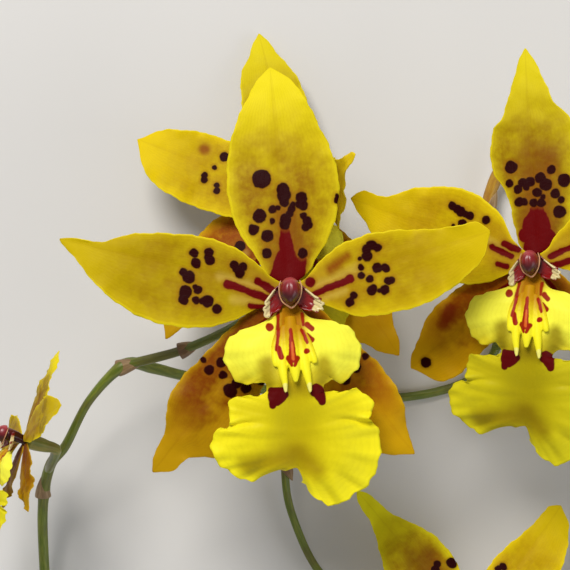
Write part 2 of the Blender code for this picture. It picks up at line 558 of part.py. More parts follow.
def make_cap(name, parts, finish, frame):
    """The domed anther cap on the column's tip, flat underneath."""
    dome = bmesh.new()
    bmesh.ops.create_uvsphere(dome, u_segments=12, v_segments=8, radius=CAP_RADIUS * MM)
    cut = bmesh.ops.bisect_plane(
        dome, geom=dome.verts[:] + dome.edges[:] + dome.faces[:], dist=WELD / 10,
        plane_co=(0.0, 0.0, -CAP_CUT * CAP_RADIUS * MM), plane_no=(0.0, 0.0, 1.0), clear_inner=True)
    bmesh.ops.holes_fill(dome, edges=[e for e in cut["geom_cut"] if isinstance(e, bmesh.types.BMEdge)])
    mesh = bpy.data.meshes.new(name)
    dome.to_mesh(mesh)
    dome.free()
    mesh.shade_smooth()
    cap = add_object(name, mesh, parts, finish, frame)
    tip_x, tip_y, tip_z = COLUMN_TIP
    cap.location = Vector((tip_x, tip_y, tip_z + CAP_GAP + CAP_CUT * CAP_RADIUS)) * MM


def bloom_matrix(bloom):
    """The bloom's frame: +Z where it looks, +Y along its upper sepal."""
    looks = Vector(bloom["looks"]).normalized()
    across = Vector(bloom["up"]).cross(looks).normalized()
    up = looks.cross(across)
    turn = Matrix((across, up, looks)).transposed().to_4x4()
    return Matrix.Translation(Vector(bloom["centre"]) * MM) @ turn @ Matrix.Scale(bloom["size"], 4)


def make_bloom(name, bloom, parts, finishes, spray):
    frame = add_object(name + "_frame", None, parts, parent=spray)
    frame.matrix_local = bloom_matrix(bloom)
    bpy.context.view_layer.update()
    for piece, blade in BLADES.items():
        finish = finishes["flushed_sepal" if piece.startswith("sepal") else "yellow_petal"]
        node = f"{name}_{piece}"
        rows = blade_rows(blade, bloom, piece)
        thicken(add_object(node, grid_mesh(node, rows), parts, finish, frame), bloom["size"])
    make_lip(name + "_lip", bloom, parts, finishes["lemon_lip"], frame)
    make_column(name + "_column", parts, finishes["maroon_column"], frame)
    make_cap(name + "_anther_cap", parts, finishes["crimson_cap"], frame)


def ovary_route(bloom):
    """The thick end of a stalk, straight behind its bloom."""
    place = bloom_matrix(bloom)
    size = bloom["size"]
    points = [(place @ Vector((0.0, 0.0, -back * MM)), radius * size) for back, radius in OVARY_STEPS]
    return [(*(point / MM), radius) for point, radius in points]


def make_receptacle(name, bloom, group):
    """The round pad at the ovary's end that carries the sepals, petals, lip and column."""
    height = RECEPTACLE["top"] - RECEPTACLE["bottom"]
    disc = bmesh.new()
    bmesh.ops.create_cone(
        disc, cap_ends=True, segments=12, radius1=RECEPTACLE["foot_radius"] * MM,
        radius2=RECEPTACLE["radius"] * MM, depth=height * MM)
    mesh = bpy.data.meshes.new(name)
    disc.to_mesh(mesh)
    disc.free()
    middle = (RECEPTACLE["top"] + RECEPTACLE["bottom"]) / 2
    pad = add_object(name, mesh, group)
    pad.matrix_world = bloom_matrix(bloom) @ Matrix.Translation((0.0, 0.0, middle * MM))


def make_bract(name, root, points, length, group):
    """A narrow pointed scale leaf, its root sunk in the stem."""
    scale_leaf = bmesh.new()
    bmesh.ops.create_cone(
        scale_leaf, cap_ends=True, segments=6, radius1=BRACT_WIDTH * MM, radius2=BRACT_TIP * MM,
        depth=length * MM)
    bmesh.ops.scale(scale_leaf, verts=scale_leaf.verts, vec=(1.0, BRACT_FLATNESS, 1.0))
    mesh = bpy.data.meshes.new(name)
    scale_leaf.to_mesh(mesh)
    scale_leaf.free()
    direction = Vector(points).normalized()
    leaf = add_object(name, mesh, group)
    turn = direction.to_track_quat("Z", "Y").to_matrix().to_4x4()
    leaf.matrix_world = Matrix.Translation((Vector(root) + direction * BRACT_OUT * length) * MM) @ turn


def make_stem(parts, cutters, finish, spray):
    """The whole green stem with its stalks, ovaries and scale leaves, grown as one piece."""
    stem = tube_solid("flower_stem", smooth_route(CUT_STEM, STEM_STEP), parts)
    stem.data.materials.append(finish)
    branches = new_collection("branches")
    for name, stalk in STALKS.items():
        route = smooth_route([*stalk, *ovary_route(BLOOMS[name])], STEM_STEP)
        tube_solid(name + "_stalk", route, branches)
        make_receptacle(name + "_receptacle", BLOOMS[name], branches)
    for k, (root, points, length) in enumerate(BRACTS):
        make_bract(f"bract_{k}", root, points, length, branches)
    join_into(stem, branches)
    flatten_feet(stem, cutters)
    stem.data.shade_smooth()
    stem.parent = spray


def flatten_feet(stem, cutters):
    """Pares the stem flat where it touches the table, at its cut end, bend and rear ovary."""
    bpy.ops.mesh.primitive_cube_add(size=1.0)
    table = bpy.context.object
    table.name = "table_plane"
    table.scale = (TABLE_WIDTH * MM, TABLE_WIDTH * MM, TABLE_DEPTH * MM)
    table.location.z = -TABLE_DEPTH / 2 * MM
    for group in list(table.users_collection):
        group.objects.unlink(table)
    cutters.objects.link(table)
    table.hide_render = True
    table.display_type = "WIRE"
    paring = stem.modifiers.new("feet", "BOOLEAN")
    paring.operation = "DIFFERENCE"
    paring.object = table
    paring.solver = "EXACT"
    apply_modifiers(stem)


def rest_on_origin(spray):
    """Moves the spray so that the middle of the foot of its box is the origin."""
    bpy.context.view_layer.update()
    graph = bpy.context.evaluated_depsgraph_get()
    corners = []
    for thing in spray.children_recursive:
        if thing.type == "MESH":
            shown = thing.evaluated_get(graph)
            corners += [shown.matrix_world @ vertex.co for vertex in shown.data.vertices]
    lowest = np.min(corners, axis=0)
    highest = np.max(corners, axis=0)
    middle = (lowest + highest) / 2
    spray.location = (-middle[0], -middle[1], -lowest[2])
    bpy.context.view_layer.update()
    print("spray moved by", [round(c / MM, 3) for c in spray.location], "mm")
    print("size", [round(float(c) / MM, 2) for c in highest - lowest], "mm")


def main():
    clear_scene()
    parts = new_collection("cambria_orchid")
    cutters = new_collection("cutters")
    spray = add_object("spray", None, parts)
    finishes = {name: make_finish(name) for name in FINISHES}
    for name, bloom in BLOOMS.items():
        make_bloom(name, bloom, parts, finishes, spray)
    make_stem(parts, cutters, finishes["green_stem"], spray)
    rest_on_origin(spray)


main()
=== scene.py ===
# Cambria orchid: a cut spray of five open blooms, lying with the blooms looking up.
# Every bloom, its lip, column and cap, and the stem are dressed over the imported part.
import math
import random

import bpy
import numpy as np
from mathutils import Matrix, Vector


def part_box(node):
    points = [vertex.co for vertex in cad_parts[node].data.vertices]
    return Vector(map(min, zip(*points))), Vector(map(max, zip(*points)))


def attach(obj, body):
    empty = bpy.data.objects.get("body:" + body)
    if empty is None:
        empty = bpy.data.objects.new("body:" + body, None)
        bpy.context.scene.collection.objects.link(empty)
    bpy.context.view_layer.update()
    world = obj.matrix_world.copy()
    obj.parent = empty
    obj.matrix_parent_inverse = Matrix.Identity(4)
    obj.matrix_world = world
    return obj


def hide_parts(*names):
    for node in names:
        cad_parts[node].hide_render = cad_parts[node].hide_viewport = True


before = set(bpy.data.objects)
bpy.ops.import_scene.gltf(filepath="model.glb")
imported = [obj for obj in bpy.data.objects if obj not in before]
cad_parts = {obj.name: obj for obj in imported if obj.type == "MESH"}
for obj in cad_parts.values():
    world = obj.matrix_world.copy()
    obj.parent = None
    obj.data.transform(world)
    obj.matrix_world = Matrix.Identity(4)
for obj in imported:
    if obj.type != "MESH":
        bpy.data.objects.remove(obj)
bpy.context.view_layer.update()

mm = 0.001
tiny = 1e-9
dice = random.Random(7)

# The tables below are in millimetres, in the spray's own place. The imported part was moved
# so that its box stands on the origin, and the front cap's box says by how much.
capLow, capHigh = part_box("front_anther_cap")
capSeat = Vector((0.0, 0.3, 56.7))
sprayMove = Vector(((capLow.x + capHigh.x) / 2, (capLow.y + capHigh.y) / 2, capLow.z)) - capSeat * mm
print("frame loaded, spray moved by", [round(c / mm, 2) for c in sprayMove], "mm")


# Shapes. One piece's points, faces, finishes and the two flat maps that its finish is drawn on:
# "plan" is millimetres in the bloom's plane, and "share" is how far along and across.
class Shape:
    def __init__(self):
        self.points, self.plan, self.share = [], [], []
        self.faces, self.slots = [], []
        self.count = 0

    def add(self, points, faces, plan, share, slots):
        points = np.asarray(points, float).reshape(-1, 3)
        self.points.append(points)
        self.plan.append(np.asarray(plan, float).reshape(-1, 2))
        self.share.append(np.asarray(share, float).reshape(-1, 2))
        self.faces += [tuple(int(k) + self.count for k in face) for face in faces]
        self.slots += list(slots) if hasattr(slots, "__len__") else [slots] * len(faces)
        self.count += len(points)

    # A thin sheet with a front, a back and a rim, round a middle surface of rows and columns.
    def addSheet(self, middle, half, plan=None, share=None, slot=None):
        rows, columns = middle.shape[:2]
        normal = np.cross(np.gradient(middle, axis=0), np.gradient(middle, axis=1))
        normal /= np.linalg.norm(normal, axis=2, keepdims=True) + tiny
        lift = normal * np.broadcast_to(half, (rows, columns))[..., None]
        points = np.concatenate([(middle + lift).reshape(-1, 3), (middle - lift).reshape(-1, 3)])
        index = np.arange(rows * columns).reshape(rows, columns)
        a, b, c, d = index[:-1, :-1], index[:-1, 1:], index[1:, 1:], index[1:, :-1]
        front = np.stack([a, d, c, b], -1).reshape(-1, 4)
        back = front[:, ::-1] + rows * columns
        border = np.concatenate([index[:-1, 0], index[-1, :-1], index[:0:-1, -1], index[0, :0:-1]])
        following = np.roll(border, -1)
        rim = np.stack([following, border, border + rows * columns, following + rows * columns], -1)
        slots = [0] * len(front) + [1] * len(back) + [0] * len(rim) if slot is None else slot
        plan, share = (points[:, :2] * scale if flat is None else np.tile(flat.reshape(-1, 2), (2, 1))
                       for flat, scale in ((plan, 1.0), (share, 0.1)))
        self.add(points, np.concatenate([front, back, rim]), plan, share, slots)

    # A round bar along a route of (x, y, z, radius), closed at both ends.
    def addBar(self, route, sides, slots=0, lobes=0, lobeDepth=0.0):
        centre, radius = route[:, :3], route[:, 3]
        tangent = np.gradient(centre, axis=0)
        tangent /= np.linalg.norm(tangent, axis=1, keepdims=True)
        side = np.cross(tangent[0], (0.3, 0.9, 0.2))
        carried = []
        for forward in tangent:
            side = side - forward * np.dot(side, forward)
            side = side / np.linalg.norm(side)
            carried.append(side)
        carried = np.array(carried)
        other = np.cross(tangent, carried)
        angle = np.linspace(0, 2 * math.pi, sides, endpoint=False)
        reach = radius[:, None] * (1 + lobeDepth * np.cos(lobes * angle)[None])
        rings = (centre[:, None] + (reach * np.cos(angle))[..., None] * carried[:, None]
                 + (reach * np.sin(angle))[..., None] * other[:, None])
        share = pairs(angle[None] / (2 * math.pi), lengthAlong(centre)[:, None])
        self.add(rings, ringFaces(len(route), sides), rings[..., :2], share, slots)

    def toObject(self, name, finishes, place):
        mesh = bpy.data.meshes.new(name)
        mesh.from_pydata((np.concatenate(self.points) * mm).tolist(), [], self.faces)
        for finish in finishes:
            mesh.materials.append(finish)
        mesh.polygons.foreach_set("material_index", self.slots)
        corners = np.zeros(len(mesh.loops), int)
        mesh.loops.foreach_get("vertex_index", corners)
        for mapName, values in (("plan", self.plan), ("share", self.share)):
            layer = mesh.uv_layers.new(name=mapName)
            layer.data.foreach_set("uv", np.concatenate(values)[corners].ravel())
        mesh.shade_smooth()
        mesh.update()
        mesh.transform(place)
        return linked(name, mesh)


def linked(name, data):
    made = bpy.data.objects.new(name, data)
    bpy.context.scene.collection.objects.link(made)
    return made


def pairs(first, second):
    return np.stack(np.broadcast_arrays(first, second), -1)


def lengthAlong(route):
    return np.concatenate([[0], np.cumsum(np.linalg.norm(np.diff(route, axis=0), axis=1))])


# The faces between rings of points, with one face over each end.
def ringFaces(rows, sides):
    between = [(i * sides + k, i * sides + (k + 1) % sides,
                (i + 1) * sides + (k + 1) % sides, (i + 1) * sides + k)
               for i in range(rows - 1) for k in range(sides)]
    last = (rows - 1) * sides
    return [*between, tuple(range(sides))[::-1], tuple(range(last, last + sides))]


# Goes from -1 to 1, with steps that get closer towards both ends.
def crowdedToEnds(count, crowding):
    t = np.linspace(-1, 1, count)
    return np.sign(t) * ((1 + crowding) * np.abs(t) - crowding * t * t)


# A smooth curve through given values that never swings past them.
def smoothThrough(xs, ys, at):
    xs, ys = np.asarray(xs, float), np.asarray(ys, float)
    step = np.diff(xs)
    slope = np.diff(ys) / step
    tangent = np.zeros(len(xs))
    tangent[0], tangent[-1] = slope[0], slope[-1]
    for k in range(1, len(xs) - 1):
        if slope[k - 1] * slope[k] > 0:
            near, far = 2 * step[k] + step[k - 1], step[k] + 2 * step[k - 1]
            tangent[k] = (near + far) / (near / slope[k - 1] + far / slope[k])
    k = np.clip(np.searchsorted(xs, at) - 1, 0, len(step) - 1)
    s = (at - xs[k]) / step[k]
    return (ys[k] * (1 + 2 * s) * (1 - s)**2 + tangent[k] * step[k] * s * (1 - s)**2
            + ys[k + 1] * s * s * (3 - 2 * s) + tangent[k + 1] * step[k] * s * s * (s - 1))


# Points on a smooth curve through knots; parts says how many lie from one knot to the next.
def smoothRoute(knots, parts):
    knots = np.asarray(knots, float)
    ends = np.concatenate([[2 * knots[0] - knots[1]], knots, [2 * knots[-1] - knots[-2]]])
    route = []
    for a, b, c, d, count in zip(ends, ends[1:], ends[2:], ends[3:], parts):
        for t in np.arange(count) / count:
            route.append(0.5 * (2 * b + (c - a) * t + (2 * a - 5 * b + 4 * c - d) * t**2
                                + (3 * b - a - 3 * c + d) * t**3))
    route.append(knots[-1])
    return np.array(route)


def routeWithStep(knots, step):
    knots = np.asarray(knots, float)
    gaps = np.linalg.norm(np.diff(knots[:, :3], axis=0), axis=1)
    return smoothRoute(knots, [max(1, round(gap / step)) for gap in gaps])


# A value in a finish's node tree, which is added, multiplied and drawn with like a number.
class Value:
    def __init__(self, finish, socket):
        self.finish, self.socket = finish, socket

    def __add__(self, other):
        return self.finish.calc("ADD", self, other)

    def __sub__(self, other):
        return self.finish.calc("SUBTRACT", self, other)

    def __rsub__(self, other):
        return self.finish.calc("SUBTRACT", other, self)

    def __mul__(self, other):
        return self.finish.calc("MULTIPLY", self, other)

    def __abs__(self):
        return self.finish.calc("ABSOLUTE", self)

    def scaled(self, factor, offset):
        return self.finish.calc("MULTIPLY_ADD", self, factor, offset)

    # A share that goes from 0 to 1 while the value goes from one limit to the other.
    def rise(self, start, end):
        return self.finish.value("ShaderNodeMapRange", {"Value": self, "From Min": start, "From Max": end},
                                 interpolation_type="SMOOTHSTEP")

    def fall(self, start, end):
        return 1.0 - self.rise(start, end)

    def part(self, k):
        return self.finish.value("ShaderNodeSeparateXYZ", {0: self}, k)

    def vector(self, operation, inputs=(), output=0):
        entries = {0: self, **dict(inputs)}
        return self.finish.value("ShaderNodeVectorMath", entries, output, operation=operation)

    def grain(self, scale, detail=3.0, roughness=0.55, output="Fac"):
        return self.finish.value("ShaderNodeTexNoise", {
            "Vector": self, "Scale": scale, "Detail": detail, "Roughness": roughness}, output)

    # The map pushed about a little, so that drawn marks get a natural, uneven edge.
    def uneven(self, push, scale):
        centred = self.grain(scale, 2.0, 0.5, "Color").vector("SUBTRACT", {1: (0.5, 0.5, 0.5)})
        return self.vector("ADD", {1: centred.vector("SCALE", {"Scale": push})})

    # How far a place lies outside a group of round marks (x, y, radius), which melt together.
    def outside(self, marks, melt):
        distance = None
        for x, y, radius in marks:
            gap = self.vector("DISTANCE", {1: (x, y, 0.0)}, "Value") - radius
            distance = gap if distance is None else self.finish.calc("SMOOTH_MIN", distance, gap, melt)
        return distance


# A finish, put together from shader nodes.
class Finish:
    def __init__(self, name):
        self.material = bpy.data.materials.new(name)
        self.material.use_nodes = True
        self.tree = self.material.node_tree
        self.surface = self.tree.nodes["Principled BSDF"]

    # Links a value to a node's input, or sets a number or a colour there.
    def put(self, entry, value):
        if isinstance(value, Value):
            self.tree.links.new(value.socket, entry)
        elif isinstance(value, tuple) and len(entry.default_value) == 4:
            entry.default_value = (*value, 1.0)
        else:
            entry.default_value = value

    def value(self, kind, inputs=(), output=0, **settings):
        made = self.tree.nodes.new(kind)
        for key, value in settings.items():
            setattr(made, key, value)
        for key, value in dict(inputs).items():
            self.put(made.inputs[key], value)
        return Value(self, made.outputs[output])

    def calc(self, operation, *values):
        return self.value("ShaderNodeMath", enumerate(values), operation=operation)

    def flatMap(self, name):
        return self.value("ShaderNodeUVMap", uv_map=name)

    # Lays shades over a colour in turn. Each comes after its share, which says how far it covers.
    def blend(self, colour, *layers):
        for share, shade in layers:
            colour = self.value("ShaderNodeMix", {0: share, 6: colour, 7: shade}, 2, data_type="RGBA")
        return colour

    # The look gives the bump's strength and depth, and the surface's other values.
    def dress(self, colour, roughness, relief, look):
        bump = self.value("ShaderNodeBump", {
            "Height": relief, "Strength": look["bump"], "Distance": look["bumpDepth"] * mm})
        inputs = {"Base Color": colour, "Roughness": roughness, "Normal": bump, **look["surface"]}
        for key, value in inputs.items():
            self.put(self.surface.inputs[key], value)
        return self.material


# A bar from one point to another as a row of round marks; the last value is its end radius.
def bar(x1, y1, x2, y2, radius, endRadius=None):
    endRadius = radius if endRadius is None else endRadius
    count = max(2, math.ceil(math.hypot(x2 - x1, y2 - y1) / (0.8 * min(radius, endRadius))))
    return [(x1 + (x2 - x1) * s, y1 + (y2 - y1) * s, radius + (endRadius - radius) * s)
            for s in np.linspace(0, 1, count + 1)]


# The markings of each blade by colour, in millimetres from the bloom's centre.
frontMarks = {
    "dorsal_sepal": {
        "dark": [
            (-5.6, 22.1, 1.8), (-1.35, 20.1, 1.25), (-1.2, 18.9, 1.35), (-1.1, 17.6, 0.95), (0.5, 17.0, 0.55),
            (0.3, 16.2, 0.75), (2.2, 18.4, 1.15), (2.5, 16.9, 0.95), (1.7, 17.1, 0.75), (-3.4, 16.05, 0.8),
            (-2.3, 16.4, 0.5), (-5.9, 14.9, 1.3), (-3.5, 13.8, 0.55), (-7.1, 12.2, 1.05), (-4.4, 10.9, 1.2),
            (-0.9, 14.2, 1.1), (-1.0, 13.2, 1.05), (0.0, 15.3, 0.7), (2.6, 14.9, 0.65), (3.3, 13.9, 0.9),
            (3.0, 12.7, 0.85), (3.7, 13.0, 0.7), (-4.5, 7.5, 0.95), (2.5, 7.6, 0.95), (9.15, 18.3, 0.5),
            (9.1, 17.7, 0.45), (9.2, 18.9, 0.45),
        ],
        "red": [
            *bar(-1.1, 12.4, -0.9, 10.6, 0.85, 1.1), *bar(-0.9, 10.2, -0.6, 8.0, 1.25, 1.4),
            *bar(-1.4, 7.2, -2.6, 3.0, 1.2, 1.35), *bar(0.0, 7.2, 1.2, 3.0, 1.2, 1.4),
            *bar(-0.7, 6.4, -0.7, 2.8, 1.5, 2.2), *bar(2.4, 6.4, 2.2, 3.0, 0.8, 0.7),
        ],
        "ochre": bar(-0.4, 15.5, -0.2, 5.0, 3.4, 2.8),
    },
    "petal_left": {
        "dark": [
            (-18.7, 7.6, 0.9), (-18.3, 5.7, 1.0), (-15.8, 7.7, 0.95), (-15.5, 6.2, 0.95), (-16.0, 6.9, 0.75),
            (-20.7, 3.9, 0.8), (-19.7, 2.9, 1.2), (-20.3, 0.0, 1.25), (-20.7, -1.4, 1.0), (-17.9, 0.4, 0.8),
            (-18.5, 1.1, 0.5), (-18.3, -1.6, 0.75), (-16.0, -1.8, 1.15), (-17.1, -1.8, 0.6),
            (-14.2, -3.3, 0.95), (-10.9, 5.3, 0.85), (-10.4, 4.4, 0.8), (-9.2, 5.0, 0.85), (-9.8, 3.7, 0.95),
        ],
        "red": [*bar(-12.3, 1.5, -9.6, 0.7, 0.72, 0.6), *bar(-9.2, 0.5, -4.2, -1.3, 0.6, 0.72),
                *bar(-6.3, 2.2, -3.4, 0.3, 0.72), *bar(-7.7, -2.7, -4.6, -3.0, 0.5)],
        "cream": [*bar(-13.5, 3.0, -5.0, 0.9, 0.9, 0.6), *bar(-11.0, -1.4, -5.6, -2.0, 0.8, 0.5)],
    },
    "petal_right": {
        "dark": [
            (15.75, 9.3, 0.85), (17.0, 8.6, 0.8), (16.2, 9.0, 0.8), (14.9, 8.3, 0.9), (15.0, 7.0, 1.05),
            (13.6, 6.5, 0.45), (13.8, 4.8, 0.65), (13.9, 3.2, 0.7), (16.9, 4.7, 1.0), (18.5, 4.7, 0.85),
            (15.6, 2.5, 0.72), (19.1, 2.15, 0.8), (19.8, 2.35, 0.7), (15.9, 0.35, 0.95), (16.3, 0.9, 0.6),
            (18.4, 0.4, 0.95), (17.3, 0.3, 0.45), (12.4, -0.65, 0.7), (11.6, -2.1, 0.78), (12.0, -1.4, 0.4),
        ],
        "red": [*bar(4.5, -0.5, 10.6, 2.0, 0.55, 0.62), (11.6, 2.6, 0.8), (11.1, 2.3, 0.6), (3.9, 1.9, 0.95)],
        "cream": [*bar(5.4, 1.5, 13.0, 4.6, 0.7, 1.0), *bar(6.0, -1.4, 10.5, 0.2, 0.5, 0.7)],
        "smear": bar(7.9, 4.5, 11.1, 7.0, 0.9),
    },
    "sepal_left": {
        "dark": [(-17.0, -13.3, 0.6), (-15.8, -15.2, 0.95), (-13.5, -13.8, 1.0), (-13.1, -16.2, 0.8),
                 (-11.7, -19.3, 1.35), (-10.5, -17.9, 1.0), (-8.6, -18.7, 1.05), (-5.7, -17.2, 1.05),
                 (-6.6, -15.6, 0.7)],
        "red": bar(-6.6, -7.0, -2.0, -3.4, 0.42),
    },
    "sepal_right": {
        "dark": [(14.7, -12.5, 0.65), (12.9, -14.8, 1.0), (10.9, -17.2, 0.95), (8.9, -15.4, 0.85)],
        "red": bar(4.8, -7.4, 2.0, -3.4, 0.4),
    },
}
rightMarks = {
    "dorsal_sepal": {
        "dark": [
            (-6.2, 20.8, 1.4), (2.8, 20.4, 1.0), (-6.5, 17.1, 0.9), (-4.5, 15.9, 1.0), (-3.4, 17.4, 1.05),
            (-1.8, 17.7, 1.1), (0.5, 18.6, 1.2), (1.7, 17.1, 1.35), (5.7, 18.1, 1.4), (-0.1, 15.3, 1.05),
            (3.9, 15.2, 1.05), (5.2, 13.8, 0.8), (-4.1, 13.1, 1.05), (-3.0, 13.1, 0.85), (-0.9, 13.0, 0.95),
            (0.9, 13.0, 0.95), (5.0, 11.2, 1.4), (-2.6, 16.3, 0.7), (1.2, 14.3, 0.6),
        ],
        "red": [*bar(-0.8, 11.4, 0.6, 11.4, 0.9), *bar(-1.6, 8.6, 1.4, 8.6, 1.5),
                *bar(-2.4, 5.8, 2.6, 5.8, 1.6), *bar(-1.2, 3.2, 1.8, 3.2, 1.6),
                *bar(-0.1, 10.6, 0.1, 3.0, 1.3, 2.0), *bar(-2.2, 7.6, -1.2, 10.4, 1.0, 0.8),
                *bar(2.2, 7.6, 1.2, 10.4, 1.0, 0.8)],
        "ochre": [*bar(-2.6, 23.6, 2.2, 23.2, 2.6), *bar(0.0, 20.0, 0.0, 8.0, 4.4)],
    },
    "petal_left": {
        "dark": [(-19.4, 10.7, 0.95), (-18.3, 10.1, 0.95), (-17.4, 9.6, 1.05), (-15.3, 8.9, 1.0),
                 (-16.3, 9.2, 0.75), (-11.6, 8.2, 0.95), (-16.9, 7.1, 0.9), (-18.8, 6.2, 0.5)],
        "red": [*bar(-9.7, 2.4, -5.4, 0.8, 0.7), *bar(-7.1, 3.4, -3.9, 2.4, 0.7),
                *bar(-8.2, -1.2, -6.0, -1.6, 0.55)],
        "cream": bar(-13.0, 5.0, -7.0, 2.2, 0.8, 0.6),
    },
    "petal_right": {
        "dark": frontMarks["petal_right"]["dark"][:14],
        "red": [*bar(3.6, 0.9, 8.6, 2.6, 0.7), *bar(3.5, -1.2, 9.2, -0.3, 0.65), (5.6, -3.0, 0.95)],
    },
    "sepal_left": {"dark": [(-19.8, -28.0, 1.25)], "red": bar(-6.6, -8.2, -2.0, -3.4, 0.5),
                   "smear": bar(-16.5, -15.0, -17.5, -18.5, 1.4)},
    "sepal_right": frontMarks["sepal_right"],
}
rearMarks = {
    "dorsal_sepal": frontMarks["dorsal_sepal"],
    "petal_left": {"dark": [(-20.3, 8.4, 1.15), (-22.2, 5.5, 0.6), (-24.2, 3.2, 0.75), (-24.1, 2.0, 0.8),
                            (-20.9, 1.2, 0.65), (-20.7, -0.1, 0.8)],
                   "red": frontMarks["petal_left"]["red"], "smear": [(-25.4, 9.5, 1.4)]},
    "petal_right": frontMarks["petal_right"],
    "sepal_left": {"dark": [(-13.3, -11.5, 1.3), (-13.8, -14.6, 1.3)], "red": [(-7.8, -14.8, 1.3)],
                   "cream": [(-11.9, -13.0, 0.9), (-11.7, -14.6, 0.9)]},
    "sepal_right": frontMarks["sepal_right"],
}
lipMarks = {
    "maroon": [
        *bar(-3.4, -19.0, -1.6, -19.0, 0.85, 0.8), *bar(-3.2, -19.7, -3.3, -21.8, 1.05, 0.6),
        *bar(-1.1, -19.6, -2.6, -21.0, 0.8, 0.8), (-2.3, -20.0, 1.1), *bar(4.9, -18.3, 5.8, -18.9, 0.75),
        *bar(5.5, -19.3, 6.1, -21.0, 1.15, 0.65), (4.5, -19.3, 0.65),
    ],
    "rust": [
        (-3.9, -6.9, 0.75), *bar(3.3, -6.4, 4.2, -7.1, 0.5), *bar(3.2, -8.5, 4.1, -9.2, 0.6),
        *bar(-2.5, -8.2, -2.7, -11.0, 0.35), *bar(-2.2, -10.9, -1.6, -12.2, 0.6), (3.2, -11.3, 0.6),
        *bar(-2.2, -4.2, -2.6, -8.0, 0.28), *bar(2.3, -4.2, 2.6, -6.4, 0.28),
    ],
    # Painted shade: beside the crest and under its tips, the shadow beneath the side lobes across the
    # shoulders, and where the skirt curves down towards the notch.
    "isthmus": [*bar(-4.6, -13.8, -4.0, -17.8, 1.5, 1.3), *bar(6.4, -13.8, 6.4, -17.8, 1.5, 1.3),
                *bar(-0.5, -18.6, 2.6, -18.6, 1.2)],
    "shoulder": [*bar(-9.0, -22.6, -2.0, -23.6, 1.9), *bar(4.0, -23.6, 11.0, -22.2, 1.8)],
    "hollow": [*bar(-8.0, -33.4, 0.5, -31.8, 1.5), *bar(1.0, -31.0, 5.2, -34.4, 1.6, 1.2)],
}

# Colours are linear red, green and blue. "flushSide" says on which half the flush is stronger.
petalLook = {
    "base": (0.47, 0.325, 0.0015), "bright": (0.74, 0.55, 0.003), "flush": (0.31, 0.145, 0.002),
    "root": (0.46, 0.27, 0.012), "flushShare": 0.55, "flushSide": 0.0, "edgeLine": (0.86, 0.70, 0.012),
    "tipFrom": 0.55, "tipShare": 0.75,
}
dorsalLook = dict(petalLook, base=(0.48, 0.32, 0.0015), bright=(0.94, 0.78, 0.012), root=(0.26, 0.10, 0.003),
                  flush=(0.29, 0.125, 0.002), flushShare=0.85, tipFrom=0.36, tipShare=1.0)
leftSepalLook = {
    "base": (0.42, 0.215, 0.002), "bright": (0.52, 0.31, 0.002), "flush": (0.20, 0.040, 0.001),
    "root": (0.16, 0.032, 0.002), "flushShare": 1.4, "flushSide": -1.0, "edgeLine": (0.58, 0.36, 0.01),
    "tipFrom": 0.45, "tipShare": 0.6,
}
rightSepalLook = dict(leftSepalLook, flushSide=1.0, flush=(0.27, 0.085, 0.0015))
# Per kind of mark: its colour, where its edge starts and ends, and how strongly it covers.
markLooks = {
    "ochre": ((0.19, 0.05, 0.0015), -3.0, 2.6, 0.75),
    "cream": ((0.66, 0.47, 0.09), -0.9, 0.8, 0.4), "smear": ((0.20, 0.012, 0.001), -0.9, 0.8, 0.75),
    "red": ((0.13, 0.0006, 0.0015), -0.10, 0.22, 1.0), "dark": ((0.022, 0.0003, 0.0005), -0.10, 0.22, 1.0),
}
haloColour = (0.28, 0.09, 0.002)


# Scales a colour up or down, up to a limit; it carries the blooms' tone and their painted light and shade.
def brighter(colour, toneAndLight):
    return tuple(min(channel * toneAndLight, 0.95) for channel in colour)


# Lengthwise veins: thin lines spaced evenly across the blade, wavering a little.
def veinLines(finish, aside, mottle, waver, count):
    stripes = (aside + (mottle - 0.5) * waver) * (math.pi * count)
    return finish.calc("POWER", finish.calc("SINE", stripes).scaled(0.5, 0.5), 3.0)


# A blade's finish: the scales of its grains, its veins, where each layer starts and ends, and how
# far it covers.
bladePaint = {
    "patches": 0.13, "mottle": 0.75, "cells": 7.0, "veins": 24, "waver": 0.12, "veinCover": 0.07,
    "edge": (0.62, 1.08), "edgeWaver": 0.10, "edgeCover": 0.6, "tipWaver": 0.2, "tipFade": 0.1, "tipEnd": 1.1,
    "flush": (0.34, 0.60), "flushLean": 0.22, "flushEdge": -0.8, "flushEnd": (0.45, 0.9), "flushMost": 0.95,
    "flecks": (0.35, 0.75), "fleckCover": 0.15, "root": (5.5, 12.5), "rootSides": (0.35, 0.9),
    "rootCover": 0.75, "midrib": (0.0, 0.12), "midribCover": 0.12, "margin": (0.93, 1.0),
    "marginCover": 0.75, "uneven": (0.7, 0.6), "melt": 0.3, "halo": (0.1, 0.9), "haloCover": 0.4,
    "pale": (0.50, 0.40, 0.06), "roughness": (0.14, 0.42), "relief": (0.3, -0.12, 1.1, 0.25),
    "bump": 0.4, "bumpDepth": 0.2, "surface": {"Specular IOR Level": 0.06},
}
